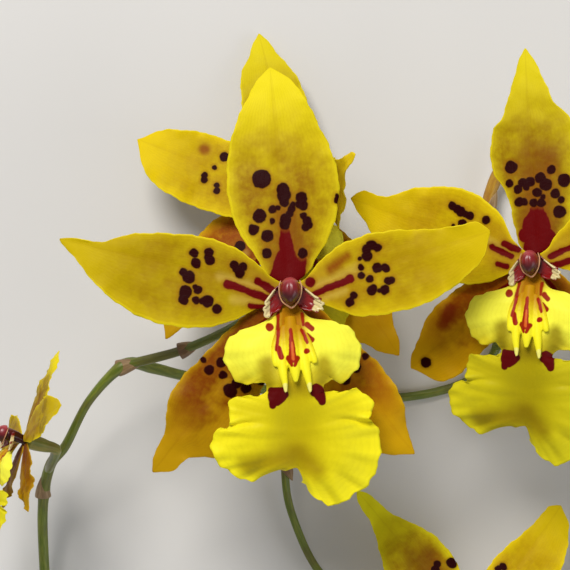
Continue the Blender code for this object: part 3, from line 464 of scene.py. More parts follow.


# A petal or sepal: mottled yellow with an ochre flush, fine veins, a pale margin and marks; lighter towards
# the tip, partly its colour and partly painted light.
def bladeFinish(name, look, toneAndLight, marks, markStrength, paleness):
    finish, paint = Finish(name), bladePaint
    base, bright, flush = (brighter(look[key], toneAndLight) for key in ("base", "bright", "flush"))
    plan, share = finish.flatMap("plan"), finish.flatMap("share")
    along, aside = share.part(0), share.part(1).scaled(2.0, -1.0)
    fromMiddle, fromCentre = abs(aside), plan.vector("LENGTH", output="Value")
    patches, mottle = plan.grain(paint["patches"]), plan.grain(paint["mottle"], 4.0, 0.6)
    cells = plan.grain(paint["cells"], 2.0, 0.6)
    veins = veinLines(finish, aside, mottle, paint["waver"], paint["veins"])
    edge = mottle.scaled(paint["edgeWaver"], fromMiddle).rise(*paint["edge"])
    tip = patches.scaled(paint["tipWaver"], along).rise(look["tipFrom"] + paint["tipFade"], paint["tipEnd"])
    # Lighter at the edges and towards the tip: partly the blade's colour, partly painted light.
    lit = finish.calc("MAXIMUM", edge * paint["edgeCover"], tip * look["tipShare"])
    sided = aside.scaled(paint["flushLean"] * look["flushSide"], patches).rise(*paint["flush"])
    flushed = sided * edge.scaled(paint["flushEdge"], 1.0) * along.fall(*paint["flushEnd"])
    flushed = finish.calc("MINIMUM", flushed * look["flushShare"], paint["flushMost"])
    nearRoot = fromCentre.fall(*paint["root"]) * fromMiddle.fall(*paint["rootSides"])
    colour = finish.blend(
        base, (lit, bright), (flushed, flush),
        (mottle.rise(*paint["flecks"]) * paint["fleckCover"], bright),
        (nearRoot * paint["rootCover"], look["root"]), (veins * paint["veinCover"], flush),
        (fromMiddle.fall(*paint["midrib"]) * paint["midribCover"], flush),
        (fromMiddle.rise(*paint["margin"]) * paint["marginCover"], look["edgeLine"]))
    uneven = plan.uneven(*paint["uneven"])
    marked = 0.0
    for key, (shade, begin, end, cover) in markLooks.items():
        if not marks.get(key):
            continue
        outside = uneven.outside(marks[key], paint["melt"])
        if key in ("red", "dark"):
            halo = outside.fall(*paint["halo"]) * (paint["haloCover"] * markStrength)
            colour = finish.blend(colour, (halo, haloColour))
        marked = outside.fall(begin, end)
        colour = finish.blend(colour, (marked * (cover * markStrength), shade))
    if paleness:
        colour = finish.blend(colour, (paleness, paint["pale"]))
    ofCells, ofVeins, ofMottle, ofMarks = paint["relief"]
    relief = cells * ofCells + veins * ofVeins + mottle * ofMottle + marked * ofMarks
    return finish.dress(colour, cells.scaled(*paint["roughness"]), relief, paint)


# The lip: lemon yellow, ochre at its claw, with maroon and rust marks. Brighter at the skirt's edges and
# ochre down its middle, partly its colour and partly painted shade in the skirt's hollow; its side lobes
# darken towards their lower ends as painted shade, and painted shade lies beside the crest, beneath the lobes
# and towards the notch.
lipLook = {
    "skirt": (0.72, 0.60, 0.005), "skirtEdge": (0.91, 0.80, 0.013), "lobe": (0.95, 0.91, 0.06),
    "lobeEndShade": (0.62, 0.49, 0.006), "ochreAndShade": (0.50, 0.385, 0.002), "claw": (0.43, 0.175, 0.0015),
    "rust": (0.30, 0.018, 0.001), "maroon": (0.10, 0.0006, 0.0011), "pale": (0.60, 0.52, 0.08),
    "mottle": 0.5, "cells": 6.0, "veins": 26, "waver": 0.14, "veinCover": 0.07,
    "edge": (0.3, 1.05), "edgeWaver": 0.2, "lobeFade": (-17.5, -11.0), "lobeWaver": 3.0,
    "skirtFrom": (-18.6, -17.2), "middle": (-1.0, 4.5), "middleCover": 0.7, "clawFade": (-1.0, 1.2),
    "markFade": (-0.12, 0.14), "middleUneven": (3.0, 0.2), "zoneUneven": (1.6, 0.3), "markUneven": (0.5, 0.6),
    "middleMelt": 1.5, "zoneMelt": 1.0, "markMelt": 0.25, "roughness": (0.14, 0.42),
    "relief": (0.3, -0.15, 1.2), "bump": 0.35, "bumpDepth": 0.22, "surface": {"Specular IOR Level": 0.1},
}
lipOchreAndShadeBand, lipClaw = bar(1.0, -18.0, 1.3, -30.0, 1.4, 1.8), bar(0.0, -1.0, 0.3, -9.0, 2.4, 2.6)
# Per zone of painted shade: its colour, where its edge starts and ends, and how strongly it covers.
lipZones = {
    "shoulder": ((0.60, 0.49, 0.005), -1.9, 2.4, 0.6), "hollow": ((0.31, 0.20, 0.001), -1.5, 2.2, 0.8),
    "isthmus": ((0.36, 0.26, 0.003), -1.1, 1.3, 0.85),
}


def lipFinish(name, toneAndLight, marked, paleness):
    finish, look = Finish(name), lipLook
    plan, aside = finish.flatMap("plan"), finish.flatMap("share").part(1).scaled(2.0, -1.0)
    mottle, cells = plan.grain(look["mottle"], 4.0, 0.6), plan.grain(look["cells"], 2.0, 0.6)
    veins = veinLines(finish, aside, mottle, look["waver"], look["veins"])
    y = plan.part(1)
    skirt, skirtEdge, ochreAndShade = (brighter(look[key], toneAndLight) for key in ("skirt", "skirtEdge", "ochreAndShade"))
    edge = mottle.scaled(look["edgeWaver"], abs(aside)).rise(*look["edge"])
    # The side lobes darker towards their lower ends: painted shade.
    upper = mottle.scaled(look["lobeWaver"], y).rise(*look["lobeFade"])
    # Ochre down the skirt's middle, partly its colour and partly painted shade in its hollow; the skirt's
    # edges lighter.
    middle = plan.uneven(*look["middleUneven"]).outside(lipOchreAndShadeBand, look["middleMelt"])
    colour = finish.blend(
        finish.blend(skirt, (edge, skirtEdge)),
        (y.rise(*look["skirtFrom"]), finish.blend(look["lobeEndShade"], (upper, look["lobe"]))),
        (middle.fall(*look["middle"]) * look["middleCover"], ochreAndShade), (veins * look["veinCover"], look["ochreAndShade"]))
    if marked:
        uneven, soft = plan.uneven(*look["markUneven"]), plan.uneven(*look["zoneUneven"])
        # The zones lay painted shade beside the crest, beneath the side lobes and where the skirt turns down.
        for key, (shade, begin, end, cover) in lipZones.items():
            zone = soft.outside(lipMarks[key], look["zoneMelt"]).fall(begin, end)
            colour = finish.blend(colour, (zone * cover, brighter(shade, toneAndLight)))
        clawed = uneven.outside(lipClaw, look["zoneMelt"]).fall(*look["clawFade"])
        colour = finish.blend(colour, (clawed, look["claw"]))
        for key in ("rust", "maroon"):
            drawn = uneven.outside(lipMarks[key], look["markMelt"]).fall(*look["markFade"])
            colour = finish.blend(colour, (drawn, look[key]))
    if paleness:
        colour = finish.blend(colour, (paleness, look["pale"]))
    ofCells, ofVeins, ofMottle = look["relief"]
    relief = cells * ofCells + veins * ofVeins + mottle * ofMottle
    return finish.dress(colour, cells.scaled(*look["roughness"]), relief, look)


# The crest: fleshy ridges, ochre with rust streaks at the claw and clear yellow at the tips.
crestLook = {
    "tip": (0.95, 0.86, 0.02), "claw": (0.52, 0.25, 0.002), "streak": (0.34, 0.014, 0.001),
    "point": (0.95, 0.88, 0.20), "core": (0.66, 0.12, 0.01), "mottle": 1.2, "waver": 2.0, "shift": 1.0,
    "clawFade": (-12.5, -6.5), "uneven": (0.35, 0.9), "melt": 0.2, "markFade": (-0.12, 0.12),
    "roughness": (0.2, 0.34), "bump": 0.3, "bumpDepth": 0.15, "surface": {"Specular IOR Level": 0.12},
}
crestPoints = [*bar(-0.9, -17.8, -0.8, -19.2, 0.5), *bar(3.75, -17.8, 3.9, -19.2, 0.5)]
crestSlit = bar(0.35, -9.6, 0.6, -12.8, 0.12, 0.26)
crestStreaks = [
    *bar(0.1, -7.2, 0.5, -12.8, 0.3, 0.75), *bar(-0.3, -12.6, 0.3, -14.0, 0.5, 0.3),
    *bar(1.4, -12.6, 0.9, -14.0, 0.5, 0.3), *bar(-2.2, -7.0, -2.6, -11.0, 0.34),
    *bar(-2.2, -10.8, -1.7, -12.4, 0.55), *bar(2.2, -7.2, 3.3, -9.6, 0.34), (3.2, -11.3, 0.55),
]


def crestFinish(name):
    finish, look = Finish(name), crestLook
    plan = finish.flatMap("plan")
    mottle = plan.grain(look["mottle"])
    height = mottle.scaled(look["waver"], plan.part(1) - look["shift"])
    colour = finish.blend(look["tip"], (height.rise(*look["clawFade"]), look["claw"]))
    uneven = plan.uneven(*look["uneven"])
    for marks, key in ((crestPoints, "point"), (crestStreaks, "streak"), (crestSlit, "core")):
        drawn = uneven.outside(marks, look["melt"]).fall(*look["markFade"])
        colour = finish.blend(colour, (drawn, look[key]))
    return finish.dress(colour, mottle.scaled(*look["roughness"]), mottle, look)


# The column: red with cream wing margins and a pinkish rim round the cap, near black close to the cap: partly
# dark red, partly painted shade in the stigma's cavity and the recesses beside the cap.
columnLook = {
    "red": (0.24, 0.004, 0.004), "dark": (0.03, 0.001, 0.003), "cream": (0.74, 0.62, 0.30), "mottle": 1.1,
    "waver": 1.4, "redFrom": (2.4, 4.2), "uneven": (0.3, 1.1), "melt": 0.2, "markFade": (-0.1, 0.16),
    "roughness": 0.3, "bump": 0.35, "bumpDepth": 0.12,
    "surface": {"Coat Weight": 0.15, "Coat Roughness": 0.2},
}
rimLook = {"pink": (0.55, 0.22, 0.12), "beige": (0.62, 0.36, 0.16), "mottle": 1.6, "beigeFrom": (0.35, 0.65),
           "roughness": 0.35, "bump": 0.2, "bumpDepth": 0.1, "surface": {}}
creamMarks = [
    *bar(-2.9, 0.4, -4.3, -1.4, 0.12, 0.24), *bar(-4.4, -2.0, -4.6, -3.3, 0.5, 0.62),
    *bar(-4.6, -3.7, -4.4, -4.7, 0.62, 0.5), *bar(3.0, 0.5, 5.2, -1.3, 0.12, 0.26),
    *bar(5.1, -1.9, 6.2, -2.3, 0.55), *bar(5.1, -2.9, 6.0, -3.3, 0.55), (4.7, -3.2, 0.45),
]


def columnFinish(name):
    finish, look = Finish(name), columnLook
    plan = finish.flatMap("plan")
    mottle = plan.grain(look["mottle"])
    # Near black close to the cap, red further out: the dark is partly painted shade of the cavity and
    # recesses there.
    outward = mottle.scaled(look["waver"], plan.vector("LENGTH", output="Value")).rise(*look["redFrom"])
    cream = plan.uneven(*look["uneven"]).outside(creamMarks, look["melt"]).fall(*look["markFade"])
    colour = finish.blend(look["dark"], (outward, look["red"]), (cream, look["cream"]))
    return finish.dress(colour, look["roughness"], mottle, look)


def rimFinish(name):
    finish, look = Finish(name), rimLook
    mottle = finish.flatMap("plan").grain(look["mottle"])
    colour = finish.blend(look["pink"], (mottle.rise(*look["beigeFrom"]), look["beige"]))
    return finish.dress(colour, look["roughness"], mottle, look)


# The anther cap: glossy crimson, nearly black below and pinkish at its upper end: partly its colour, partly
# painted shade below and a painted highlight on top.
capLook = {
    "low": (0.055, 0.0008, 0.002), "middle": (0.20, 0.003, 0.007), "top": (0.40, 0.05, 0.06),
    "mottle": 0.9, "waver": 1.2, "shift": 0.6, "middleFrom": (-0.9, 1.1), "topFrom": (1.2, 2.8),
    "roughness": 0.36, "bump": 0.25, "bumpDepth": 0.1,
    "surface": {"Coat Weight": 0.25, "Coat Roughness": 0.25},
}


def capFinish(name):
    finish, look = Finish(name), capLook
    plan = finish.flatMap("plan")
    mottle = plan.grain(look["mottle"])
    height = mottle.scaled(look["waver"], plan.part(1) - look["shift"])
    # Darker below as painted shade, pink towards the top as a painted highlight over its crimson.
    colour = finish.blend(look["low"], (height.rise(*look["middleFrom"]), look["middle"]),
                          (height.rise(*look["topFrom"]), look["top"]))
    return finish.dress(colour, look["roughness"], mottle, look)


# The stem, the ovaries and the papery scale leaves share one recipe of streaks and flecks.
stemLooks = {
    "greenStem": {"base": (0.10, 0.145, 0.008), "fleck": (0.20, 0.23, 0.025), "stain": (0.12, 0.065, 0.02),
                  "stainShare": 0.45},
    "ovary": {"base": (0.19, 0.21, 0.02), "fleck": (0.32, 0.27, 0.04), "stain": (0.22, 0.11, 0.03),
              "stainShare": 0.5},
    "scaleLeaf": {"base": (0.24, 0.15, 0.06), "fleck": (0.42, 0.28, 0.14), "stain": (0.14, 0.06, 0.03),
                  "stainShare": 0.6},
    "cutEnd": {"base": (0.30, 0.36, 0.12), "fleck": (0.48, 0.50, 0.26), "stain": (0.20, 0.15, 0.05),
               "stainShare": 0.5},
    "youngTip": {"base": (0.38, 0.19, 0.012), "fleck": (0.52, 0.30, 0.03), "stain": (0.26, 0.08, 0.015),
                 "stainShare": 0.6},
}


stemPaint = {
    "streaks": (0.35, 0.7), "streakScale": (14.0, 0.22, 1.0), "stains": (0.45, 0.65), "stainScale": 130.0,
    "flecks": (0.6, 0.75), "fleckScale": 1600.0, "fleckCover": 0.35, "fleckRelief": 0.4,
    "roughness": (0.2, 0.32), "bump": 0.4, "bumpDepth": 0.15, "surface": {},
}


def stemFinish(name, look):
    finish, paint = Finish(name), stemPaint
    place = finish.value("ShaderNodeTexCoord", output="Object")
    stretched = finish.value("ShaderNodeMapping", {
        "Vector": finish.flatMap("share"), "Scale": paint["streakScale"]})
    streaks = stretched.grain(1.0, 4.0, 0.6)
    flecks, stains = place.grain(paint["fleckScale"]), place.grain(paint["stainScale"])
    colour = finish.blend(
        look["base"], (streaks.rise(*paint["streaks"]), look["fleck"]),
        (stains.rise(*paint["stains"]) * look["stainShare"], look["stain"]),
        (flecks.rise(*paint["flecks"]) * paint["fleckCover"], look["fleck"]))
    relief = streaks + flecks * paint["fleckRelief"]
    return finish.dress(colour, streaks.scaled(*paint["roughness"]), relief, paint)


# The sepals and petals. An outline gives the distance from the bloom's centre and the two
# half-widths, counter-clockwise of the blade's axis first.
dorsalOutline = (
    (1.75, 1.4, 1.4), (3.7, 4.0, 4.0), (6.2, 5.4, 5.8), (9.2, 7.1, 8.0), (14.0, 9.5, 10.3),
    (20.9, 10.5, 11.5), (27.0, 9.9, 10.5), (32.3, 8.3, 8.5), (36.5, 6.3, 6.9), (39.1, 4.7, 5.5),
    (41.7, 3.0, 3.8), (43.3, 1.9, 2.2), (44.3, 0.8, 0.8),
)
leftPetalOutline = (
    (1.75, 1.6, 1.3), (4.0, 3.8, 2.0), (6.6, 5.5, 3.4), (9.5, 7.9, 5.0), (12.5, 9.6, 6.0),
    (15.0, 10.6, 6.5), (19.0, 11.4, 6.7), (23.2, 11.7, 6.2), (27.3, 11.3, 5.5), (31.0, 10.2, 4.6),
    (35.0, 8.4, 3.0), (38.0, 6.5, 1.2), (41.0, 4.2, 0.9), (43.5, 2.2, 0.8), (46.2, 1.2, 0.4),
)
rightPetalOutline = (
    (1.75, 1.2, 1.4), (3.5, 1.6, 2.5), (6.0, 3.3, 4.4), (8.3, 4.5, 6.4), (12.0, 6.0, 8.6),
    (17.3, 6.4, 9.6), (23.0, 5.6, 9.9), (28.7, 4.0, 8.9), (34.5, 2.9, 6.5), (38.5, 2.6, 3.6),
    (40.3, 1.2, 0.9),
)
leftSepalOutline = (
    (1.75, 0.9, 1.3), (4.0, 2.0, 2.5), (10.5, 4.2, 4.6), (16.0, 6.5, 5.5), (22.0, 8.0, 6.2),
    (26.5, 8.6, 6.8), (31.0, 8.9, 6.3), (34.5, 8.6, 4.3), (36.2, 6.0, 3.2), (38.5, 3.8, 2.5),
    (42.0, 3.0, 1.8), (44.6, 0.9, 0.7),
)
rightSepalOutline = (
    (1.75, 1.3, 0.9), (4.0, 2.2, 2.0), (10.0, 3.4, 4.0), (16.0, 4.2, 6.0), (22.5, 5.3, 7.2),
    (26.8, 5.2, 7.2), (30.7, 4.4, 6.9), (33.5, 2.9, 6.4), (36.0, 1.6, 5.2), (38.0, 0.9, 3.4),
    (40.2, 0.5, 0.9),
)
longSepalOutline = (
    (1.75, 1.3, 0.9), (4.0, 2.5, 2.0), (10.5, 5.0, 4.2), (16.0, 6.3, 6.5), (22.0, 6.5, 8.0),
    (28.8, 5.7, 8.6), (32.6, 4.3, 8.4), (35.0, 2.9, 5.5), (38.0, 2.3, 3.8), (42.0, 0.7, 0.9),
)
bentSepalOutline = (
    (1.75, 0.9, 1.3), (4.0, 1.6, 3.2), (8.0, 2.4, 7.2), (12.0, 2.8, 10.8), (16.3, 3.0, 13.0),
    (20.7, 3.0, 13.3), (25.0, 2.9, 12.0), (30.0, 2.5, 9.6), (35.0, 1.8, 7.0), (39.0, 1.2, 5.0),
    (42.1, 0.7, 3.7), (44.2, 0.6, 1.8), (45.2, 0.5, 0.6),
)
smallDorsalOutline = (
    (1.75, 1.4, 1.4), (3.7, 3.2, 3.2), (8.0, 4.8, 4.8), (13.0, 5.6, 5.6), (18.0, 5.2, 5.2),
    (23.0, 3.8, 3.8), (27.0, 2.0, 2.0), (29.0, 0.7, 0.7),
)
smallPetalOutline = (
    (1.75, 1.4, 1.4), (4.0, 3.0, 2.6), (8.0, 5.4, 4.6), (13.0, 6.8, 5.8), (18.0, 6.6, 5.4),
    (22.5, 4.4, 3.6), (25.5, 2.2, 1.8), (27.0, 0.7, 0.7),
)
smallSepalOutline = (
    (1.75, 0.9, 1.2), (4.0, 2.0, 2.2), (9.0, 3.8, 3.8), (14.0, 4.8, 4.8), (19.0, 4.4, 4.4),
    (23.0, 3.0, 3.0), (26.0, 1.4, 1.4), (27.5, 0.6, 0.6),
)
slimDorsalOutline = (
    (1.75, 1.4, 1.4), (3.7, 3.4, 3.4), (9.2, 5.4, 5.4), (14.0, 7.6, 7.6), (20.0, 9.0, 9.0),
    (25.0, 8.6, 8.8), (29.0, 7.0, 7.4), (34.0, 4.6, 5.0), (39.0, 2.8, 3.0), (44.0, 2.2, 2.2),
    (46.6, 1.5, 1.5), (48.0, 0.7, 0.7),
)
shoulderedDorsalOutline = (
    (1.75, 1.4, 1.6), (3.4, 3.2, 4.4), (5.5, 3.8, 6.4), (9.1, 4.5, 8.6), (14.1, 5.3, 9.8),
    (17.4, 6.8, 10.3), (20.3, 8.5, 10.6), (23.5, 9.1, 10.7), (27.4, 8.7, 10.4), (30.2, 7.8, 9.9),
    (32.2, 5.9, 8.6), (34.5, 5.0, 6.3), (38.8, 3.6, 4.5), (45.3, 1.4, 1.6), (47.4, 0.6, 0.6),
)
narrowDorsalOutline = (
    (1.75, 1.4, 1.4), (3.7, 3.4, 3.2), (9.2, 5.4, 5.0), (14.0, 7.8, 6.4), (20.0, 9.0, 7.2),
    (25.6, 8.8, 7.3), (29.0, 8.3, 7.1), (33.4, 7.6, 6.2), (37.5, 6.6, 4.4), (40.6, 4.2, 3.0),
    (44.0, 2.2, 1.8), (46.5, 0.7, 0.7),
)
wavedPetalOutline = (
    (1.75, 1.6, 1.3), (4.0, 3.8, 2.0), (6.5, 6.0, 3.4), (8.4, 7.6, 5.7), (10.2, 8.6, 7.4),
    (14.0, 9.8, 9.3), (18.6, 10.3, 10.4), (22.5, 10.2, 10.1), (26.4, 9.6, 8.8), (30.4, 8.8, 7.3),
    (33.5, 7.6, 5.3), (36.5, 6.2, 3.1), (39.3, 4.2, 2.8), (41.3, 2.9, 2.8), (43.4, 1.4, 2.4),
    (44.6, 0.5, 0.9),
)
bluntPetalOutline = (
    (1.75, 1.6, 1.3), (4.0, 3.8, 2.0), (7.0, 5.7, 3.6), (9.5, 7.3, 5.4), (14.8, 9.6, 7.2),
    (20.1, 10.2, 7.8), (26.3, 10.5, 7.7), (31.2, 9.9, 6.7), (34.0, 9.2, 5.6), (36.3, 7.9, 5.1),
    (38.9, 5.9, 3.7), (41.2, 2.9, 1.6), (42.8, 0.9, 0.5),
)
foldedPetalOutline = (
    (1.75, 1.2, 1.4), (3.5, 1.6, 2.5), (6.0, 3.3, 4.4), (8.3, 4.5, 6.4), (12.0, 6.0, 8.6),
    (17.3, 6.4, 9.4), (23.0, 5.6, 8.2), (28.0, 3.9, 5.4), (32.0, 2.2, 2.8), (36.0, 1.6, 1.6),
    (39.5, 1.3, 1.2), (41.0, 0.7, 0.7),
)
shortSepalOutline = (
    (1.75, 0.9, 1.3), (4.0, 2.0, 2.5), (10.5, 4.2, 5.0), (16.0, 6.3, 6.7), (22.0, 7.6, 7.0),
    (26.9, 8.0, 6.5), (29.7, 8.1, 5.5), (32.6, 7.7, 3.8), (34.6, 6.6, 2.7), (36.4, 3.8, 2.2),
    (38.0, 0.7, 0.9),
)

blades = {
    "dorsal_sepal": {"outline": dorsalOutline, "angle": 95.1, "root": -0.5, "slope": -0.05,
                     "curl": -1.6, "cup": -0.7, "ripple": 0.5, "waves": 2.6, "look": dorsalLook},
    "sepal_left": {"outline": leftSepalOutline, "angle": 232.7, "root": -0.5, "slope": -0.07,
                   "curl": -1.5, "cup": -0.9, "ripple": 0.8, "waves": 3.2, "look": leftSepalLook},
    "sepal_right": {"outline": rightSepalOutline, "angle": 307.6, "root": -0.5, "slope": -0.07,
                    "curl": -1.5, "cup": -0.9, "ripple": 0.8, "waves": 2.8, "look": rightSepalLook},
    "petal_left": {"outline": leftPetalOutline, "angle": 167.0, "root": 0.65, "slope": 0.03,
                   "curl": -3.4, "cup": 0.5, "ripple": 0.6, "waves": 2.4, "look": petalLook},
    "petal_right": {"outline": rightPetalOutline, "angle": 16.9, "root": 0.65, "slope": 0.03,
                    "curl": 3.2, "cup": 0.5, "ripple": 0.6, "waves": 2.2, "look": petalLook},
}
plainBloom = {
    "size": 1.0, "phase": 0.0, "lip": (1.0, 0.0), "outlines": {}, "turns": {}, "leans": {}, "folds": {},
    "curls": {}, "stray": 0.0, "toneAndLight": 1.0, "markStrength": 1.0, "bladeToneAndLight": {}, "lipToneAndShade": 1.0,
}
# Per bloom and per blade, factors brighten or darken the blades' and the lip's colours: partly tone, partly
# painted light and shade, lighter on sepals lying in the petals' shadow and darker where the rear bloom and
# the right bloom's lip lie in shade.
blooms = {
    "front": {
        **plainBloom, "centre": (0.0, 0.0, 50.0), "looks": (0.0, 0.0, 1.0), "up": (0.0, 1.0, 0.0),
        "marks": frontMarks,
        "bladeToneAndLight": {"petal_left": 0.88, "dorsal_sepal": 0.9, "sepal_right": 1.2},
    },
    "right": {
        **plainBloom, "centre": (48.9, 6.0, 40.0), "looks": (-0.3, -0.06, 1.0), "up": (-0.02, 1.0, 0.0),
        "size": 0.9, "phase": 1.3, "lip": (1.07, -7.0), "marks": rightMarks, "lipToneAndShade": 0.72,
        "outlines": {"dorsal_sepal": shoulderedDorsalOutline, "petal_left": wavedPetalOutline,
                     "sepal_left": shortSepalOutline},
        "turns": {"dorsal_sepal": -3.1, "petal_left": -7.0, "petal_right": 4.0, "sepal_left": -14.2},
        "leans": {"petal_left": 0.02, "petal_right": -0.1, "sepal_left": 0.04},
        "bladeToneAndLight": {"petal_left": 1.15, "dorsal_sepal": 0.8, "sepal_left": 1.5, "petal_right": 1.1},
    },
    "rear": {
        **plainBloom, "centre": (2.8, 17.8, 15.0), "looks": (-0.05, 0.25, 1.0), "up": (0.0, 1.0, 0.0),
        "size": 0.88, "phase": 2.1, "lip": (0.76, -4.0), "marks": rearMarks, "toneAndLight": 1.3, "lipToneAndShade": 0.6,
        "outlines": {"dorsal_sepal": narrowDorsalOutline, "petal_left": bluntPetalOutline,
                     "petal_right": foldedPetalOutline, "sepal_left": bentSepalOutline,
                     "sepal_right": longSepalOutline},
        "turns": {"dorsal_sepal": 9.1, "petal_left": -8.8, "petal_right": -5.6,
                  "sepal_left": -9.0, "sepal_right": -4.6},
        "leans": {"dorsal_sepal": 0.02, "petal_left": 0.12}, "folds": {"petal_right": 87.0},
        "curls": {"petal_right": -8.4}, "bladeToneAndLight": {"dorsal_sepal": 0.62, "petal_left": 0.9},
    },
    "left": {
        **plainBloom, "centre": (-53.4, -29.8, 36.0), "looks": (-0.88, 0.28, 0.36), "up": (0.33, 0.94, 0.0),
        "size": 0.66, "phase": 3.4, "lip": (0.8, 0.0), "marks": frontMarks, "stray": 0.6,
        "toneAndLight": 0.9, "markStrength": 0.25, "lipToneAndShade": 0.8,
        "outlines": {"dorsal_sepal": smallDorsalOutline, "petal_left": smallPetalOutline,
                     "petal_right": smallPetalOutline, "sepal_left": smallSepalOutline,
                     "sepal_right": smallSepalOutline},
        "turns": {"petal_left": 16.0, "petal_right": 18.0, "sepal_left": 8.0, "sepal_right": 12.0},
        "leans": {"dorsal_sepal": 0.03, "sepal_right": 0.08}, "curls": {"petal_right": -5.6},
    },
    "low": {
        **plainBloom, "centre": (38.1, -70.6, 21.0), "looks": (0.1, 0.35, 1.0), "up": (-0.574, 0.819, 0.0),
        "size": 0.8, "phase": 4.2, "marks": rightMarks, "stray": 0.6, "toneAndLight": 1.15,
        "outlines": {"dorsal_sepal": slimDorsalOutline}, "turns": {"dorsal_sepal": -5.0},
    },
}
bladeShape = {
    "rows": 64, "columns": 35, "rootRadius": 1.75, "rowCrowding": 0.35, "edgeCrowding": 0.18,
    "edgeLag": 1.7, "flatShare": 0.3, "calmTip": 0.15, "cupStart": 0.2, "cupReach": 10.0,
    "foldStart": 5.0, "foldSpan": 5.0, "thickness": 0.62, "edgeThickness": 0.16, "crinkle": 0.22,
    "groove": 0.32, "grooveWidth": 0.9, "grooveStart": 0.08, "pucker": 0.16, "pointReach": 2.2,
    "rib": 0.25, "ribWidth": 1.1, "tipThinning": 0.55,
}


def bloomPlace(bloom):
    looks = Vector(bloom["looks"]).normalized()
    across = Vector(bloom["up"]).cross(looks).normalized()
    turn = Matrix((across, looks.cross(across), looks)).transposed().to_4x4()
    return (Matrix.Translation(sprayMove + Vector(bloom["centre"]) * mm) @ turn
            @ Matrix.Scale(bloom["size"], 4))


# The lip is sized and turned about its claw.
def lipPlace(bloom):
    size, turn = bloom["lip"]
    claw = Matrix.Translation(Vector(lipRows[0][0]) * mm)
    turned = Matrix.Rotation(math.radians(turn), 4, "Z") @ Matrix.Scale(size, 4)
    return bloomPlace(bloom) @ claw @ turned @ claw.inverted()


# Bends a blade's far part up round its root.
def folded(along, height, fold):
    if fold == 0.0:
        return along + 0 * height, height
    start, span = bladeShape["foldStart"], bladeShape["foldSpan"]
    bent = np.clip((along - start) / span, 0.0, 1.0) * fold
    radius = span / fold
    past = np.maximum(along - start - span, 0.0)
    before = np.minimum(along, start)
    out = before + radius * np.sin(bent) + past * np.cos(bent) - height * np.sin(bent)
    return out, radius * (1 - np.cos(bent)) + past * np.sin(bent) + height * np.cos(bent)


# How far a blade reaches to one side: its outline, a little ragged, and pointed at the tip.
def bladeWidth(outline, column, along, phase, lag):
    half = smoothThrough(outline[:, 0], outline[:, column], along)
    ragged = (0.10 * np.sin(along * 1.25 + phase + lag)
              + 0.07 * np.sin(along * 2.9 + 2.3 * phase + lag))
    left = np.maximum(outline[-1, 0] - along, 0.0)
    pointed = np.minimum(1.0, np.sqrt(left / bladeShape["pointReach"]) * 0.8 + 0.2)
    return (half + ragged * np.minimum(half / 4, 1.0)) * pointed


def bladeGrid(bloom, name):
    blade, shape = blades[name], bladeShape
    outline = np.array(bloom["outlines"].get(name, blade["outline"]))
    root, length = shape["rootRadius"], outline[-1, 0]
    even = np.linspace(0, 1, shape["rows"])
    even = even + shape["rowCrowding"] * ((1 - np.cos(math.pi * even)) / 2 - even)
    rows = root + (length - root) * even
    phase = bloom["phase"] + blade["angle"]
    widths = [bladeWidth(outline, 1, rows, phase, 0.0), bladeWidth(outline, 2, rows, phase, 2.0)]
    along, t = np.meshgrid(rows, crowdedToEnds(shape["columns"], shape["edgeCrowding"]), indexing="ij")
    across = t * np.where(t > 0, widths[0][:, None], widths[1][:, None])
    share = (along - root) / (length - root)
    free = np.clip((share - shape["flatShare"]) / shape["flatShare"], 0, 1)
    calm = np.minimum((1 - share) / shape["calmTip"], 1)
    turn = 2 * math.pi * blade["waves"] * share + bloom["phase"] + np.where(t > 0, shape["edgeLag"], 0.0)
    slope = blade["slope"] + bloom["leans"].get(name, 0.0)
    curl = blade["curl"] + bloom["curls"].get(name, 0.0)
    height = (blade["root"] + slope * (along - root) + curl * share**3
              + blade["cup"] * (across / shape["cupReach"])**2 * np.minimum(share / shape["cupStart"], 1)
              + blade["ripple"] * free * calm * t * t * np.sin(turn))
    # Finer forms than the solid's: a crisped margin, a groove along the midrib, soft puckers.
    height += shape["crinkle"] * free * calm * t**6 * (
        np.sin(3.3 * turn + 1.0) + 0.6 * np.sin(5.9 * turn + 2.0 + phase))
    height -= (shape["groove"] * np.exp(-(across / shape["grooveWidth"])**2) * (1 - share)**0.6
               * np.minimum(share / shape["grooveStart"], 1))
    height += shape["pucker"] * free * calm * (
        np.sin(0.55 * along + 0.42 * across + phase) * np.sin(0.37 * along - 0.61 * across + 2 * phase)
        + 0.5 * np.sin(1.1 * along + phase) * np.sin(0.95 * across + 3 * phase))
    out, height = folded(along, height, math.radians(bloom["folds"].get(name, 0.0)))
    turned = turnedPlan(out, across, blade["angle"] + bloom["turns"].get(name, 0.0))
    middle = np.concatenate([turned, height[..., None]], -1)
    fuller = (1 - np.abs(t)**3) * (1 - shape["tipThinning"] * share)
    thick = shape["edgeThickness"] + (shape["thickness"] - shape["edgeThickness"]) * fuller
    thick = thick + shape["rib"] * np.exp(-(across / shape["ribWidth"])**2) * (1 - share)
    return middle, thick / 2, turnedPlan(along, across, blade["angle"]), pairs(share, (t + 1) / 2)


# Distances along and across a blade as places in the bloom's plane.
def turnedPlan(along, across, degrees):
    cos, sin = math.cos(math.radians(degrees)), math.sin(math.radians(degrees))
    return np.stack([along * cos - across * sin, along * sin + across * cos], -1)


def strayed(marks, stray):
    return {key: [(x + dice.uniform(-stray, stray), y + dice.uniform(-stray, stray), radius)
                  for x, y, radius in spots] for key, spots in marks.items()}


# Makes a shape into the visible piece of a node.
def settle(shape, node, finishes, place):
    piece = shape.toObject(node + ".piece", finishes, place)
    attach(piece, "root")
    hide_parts(node)


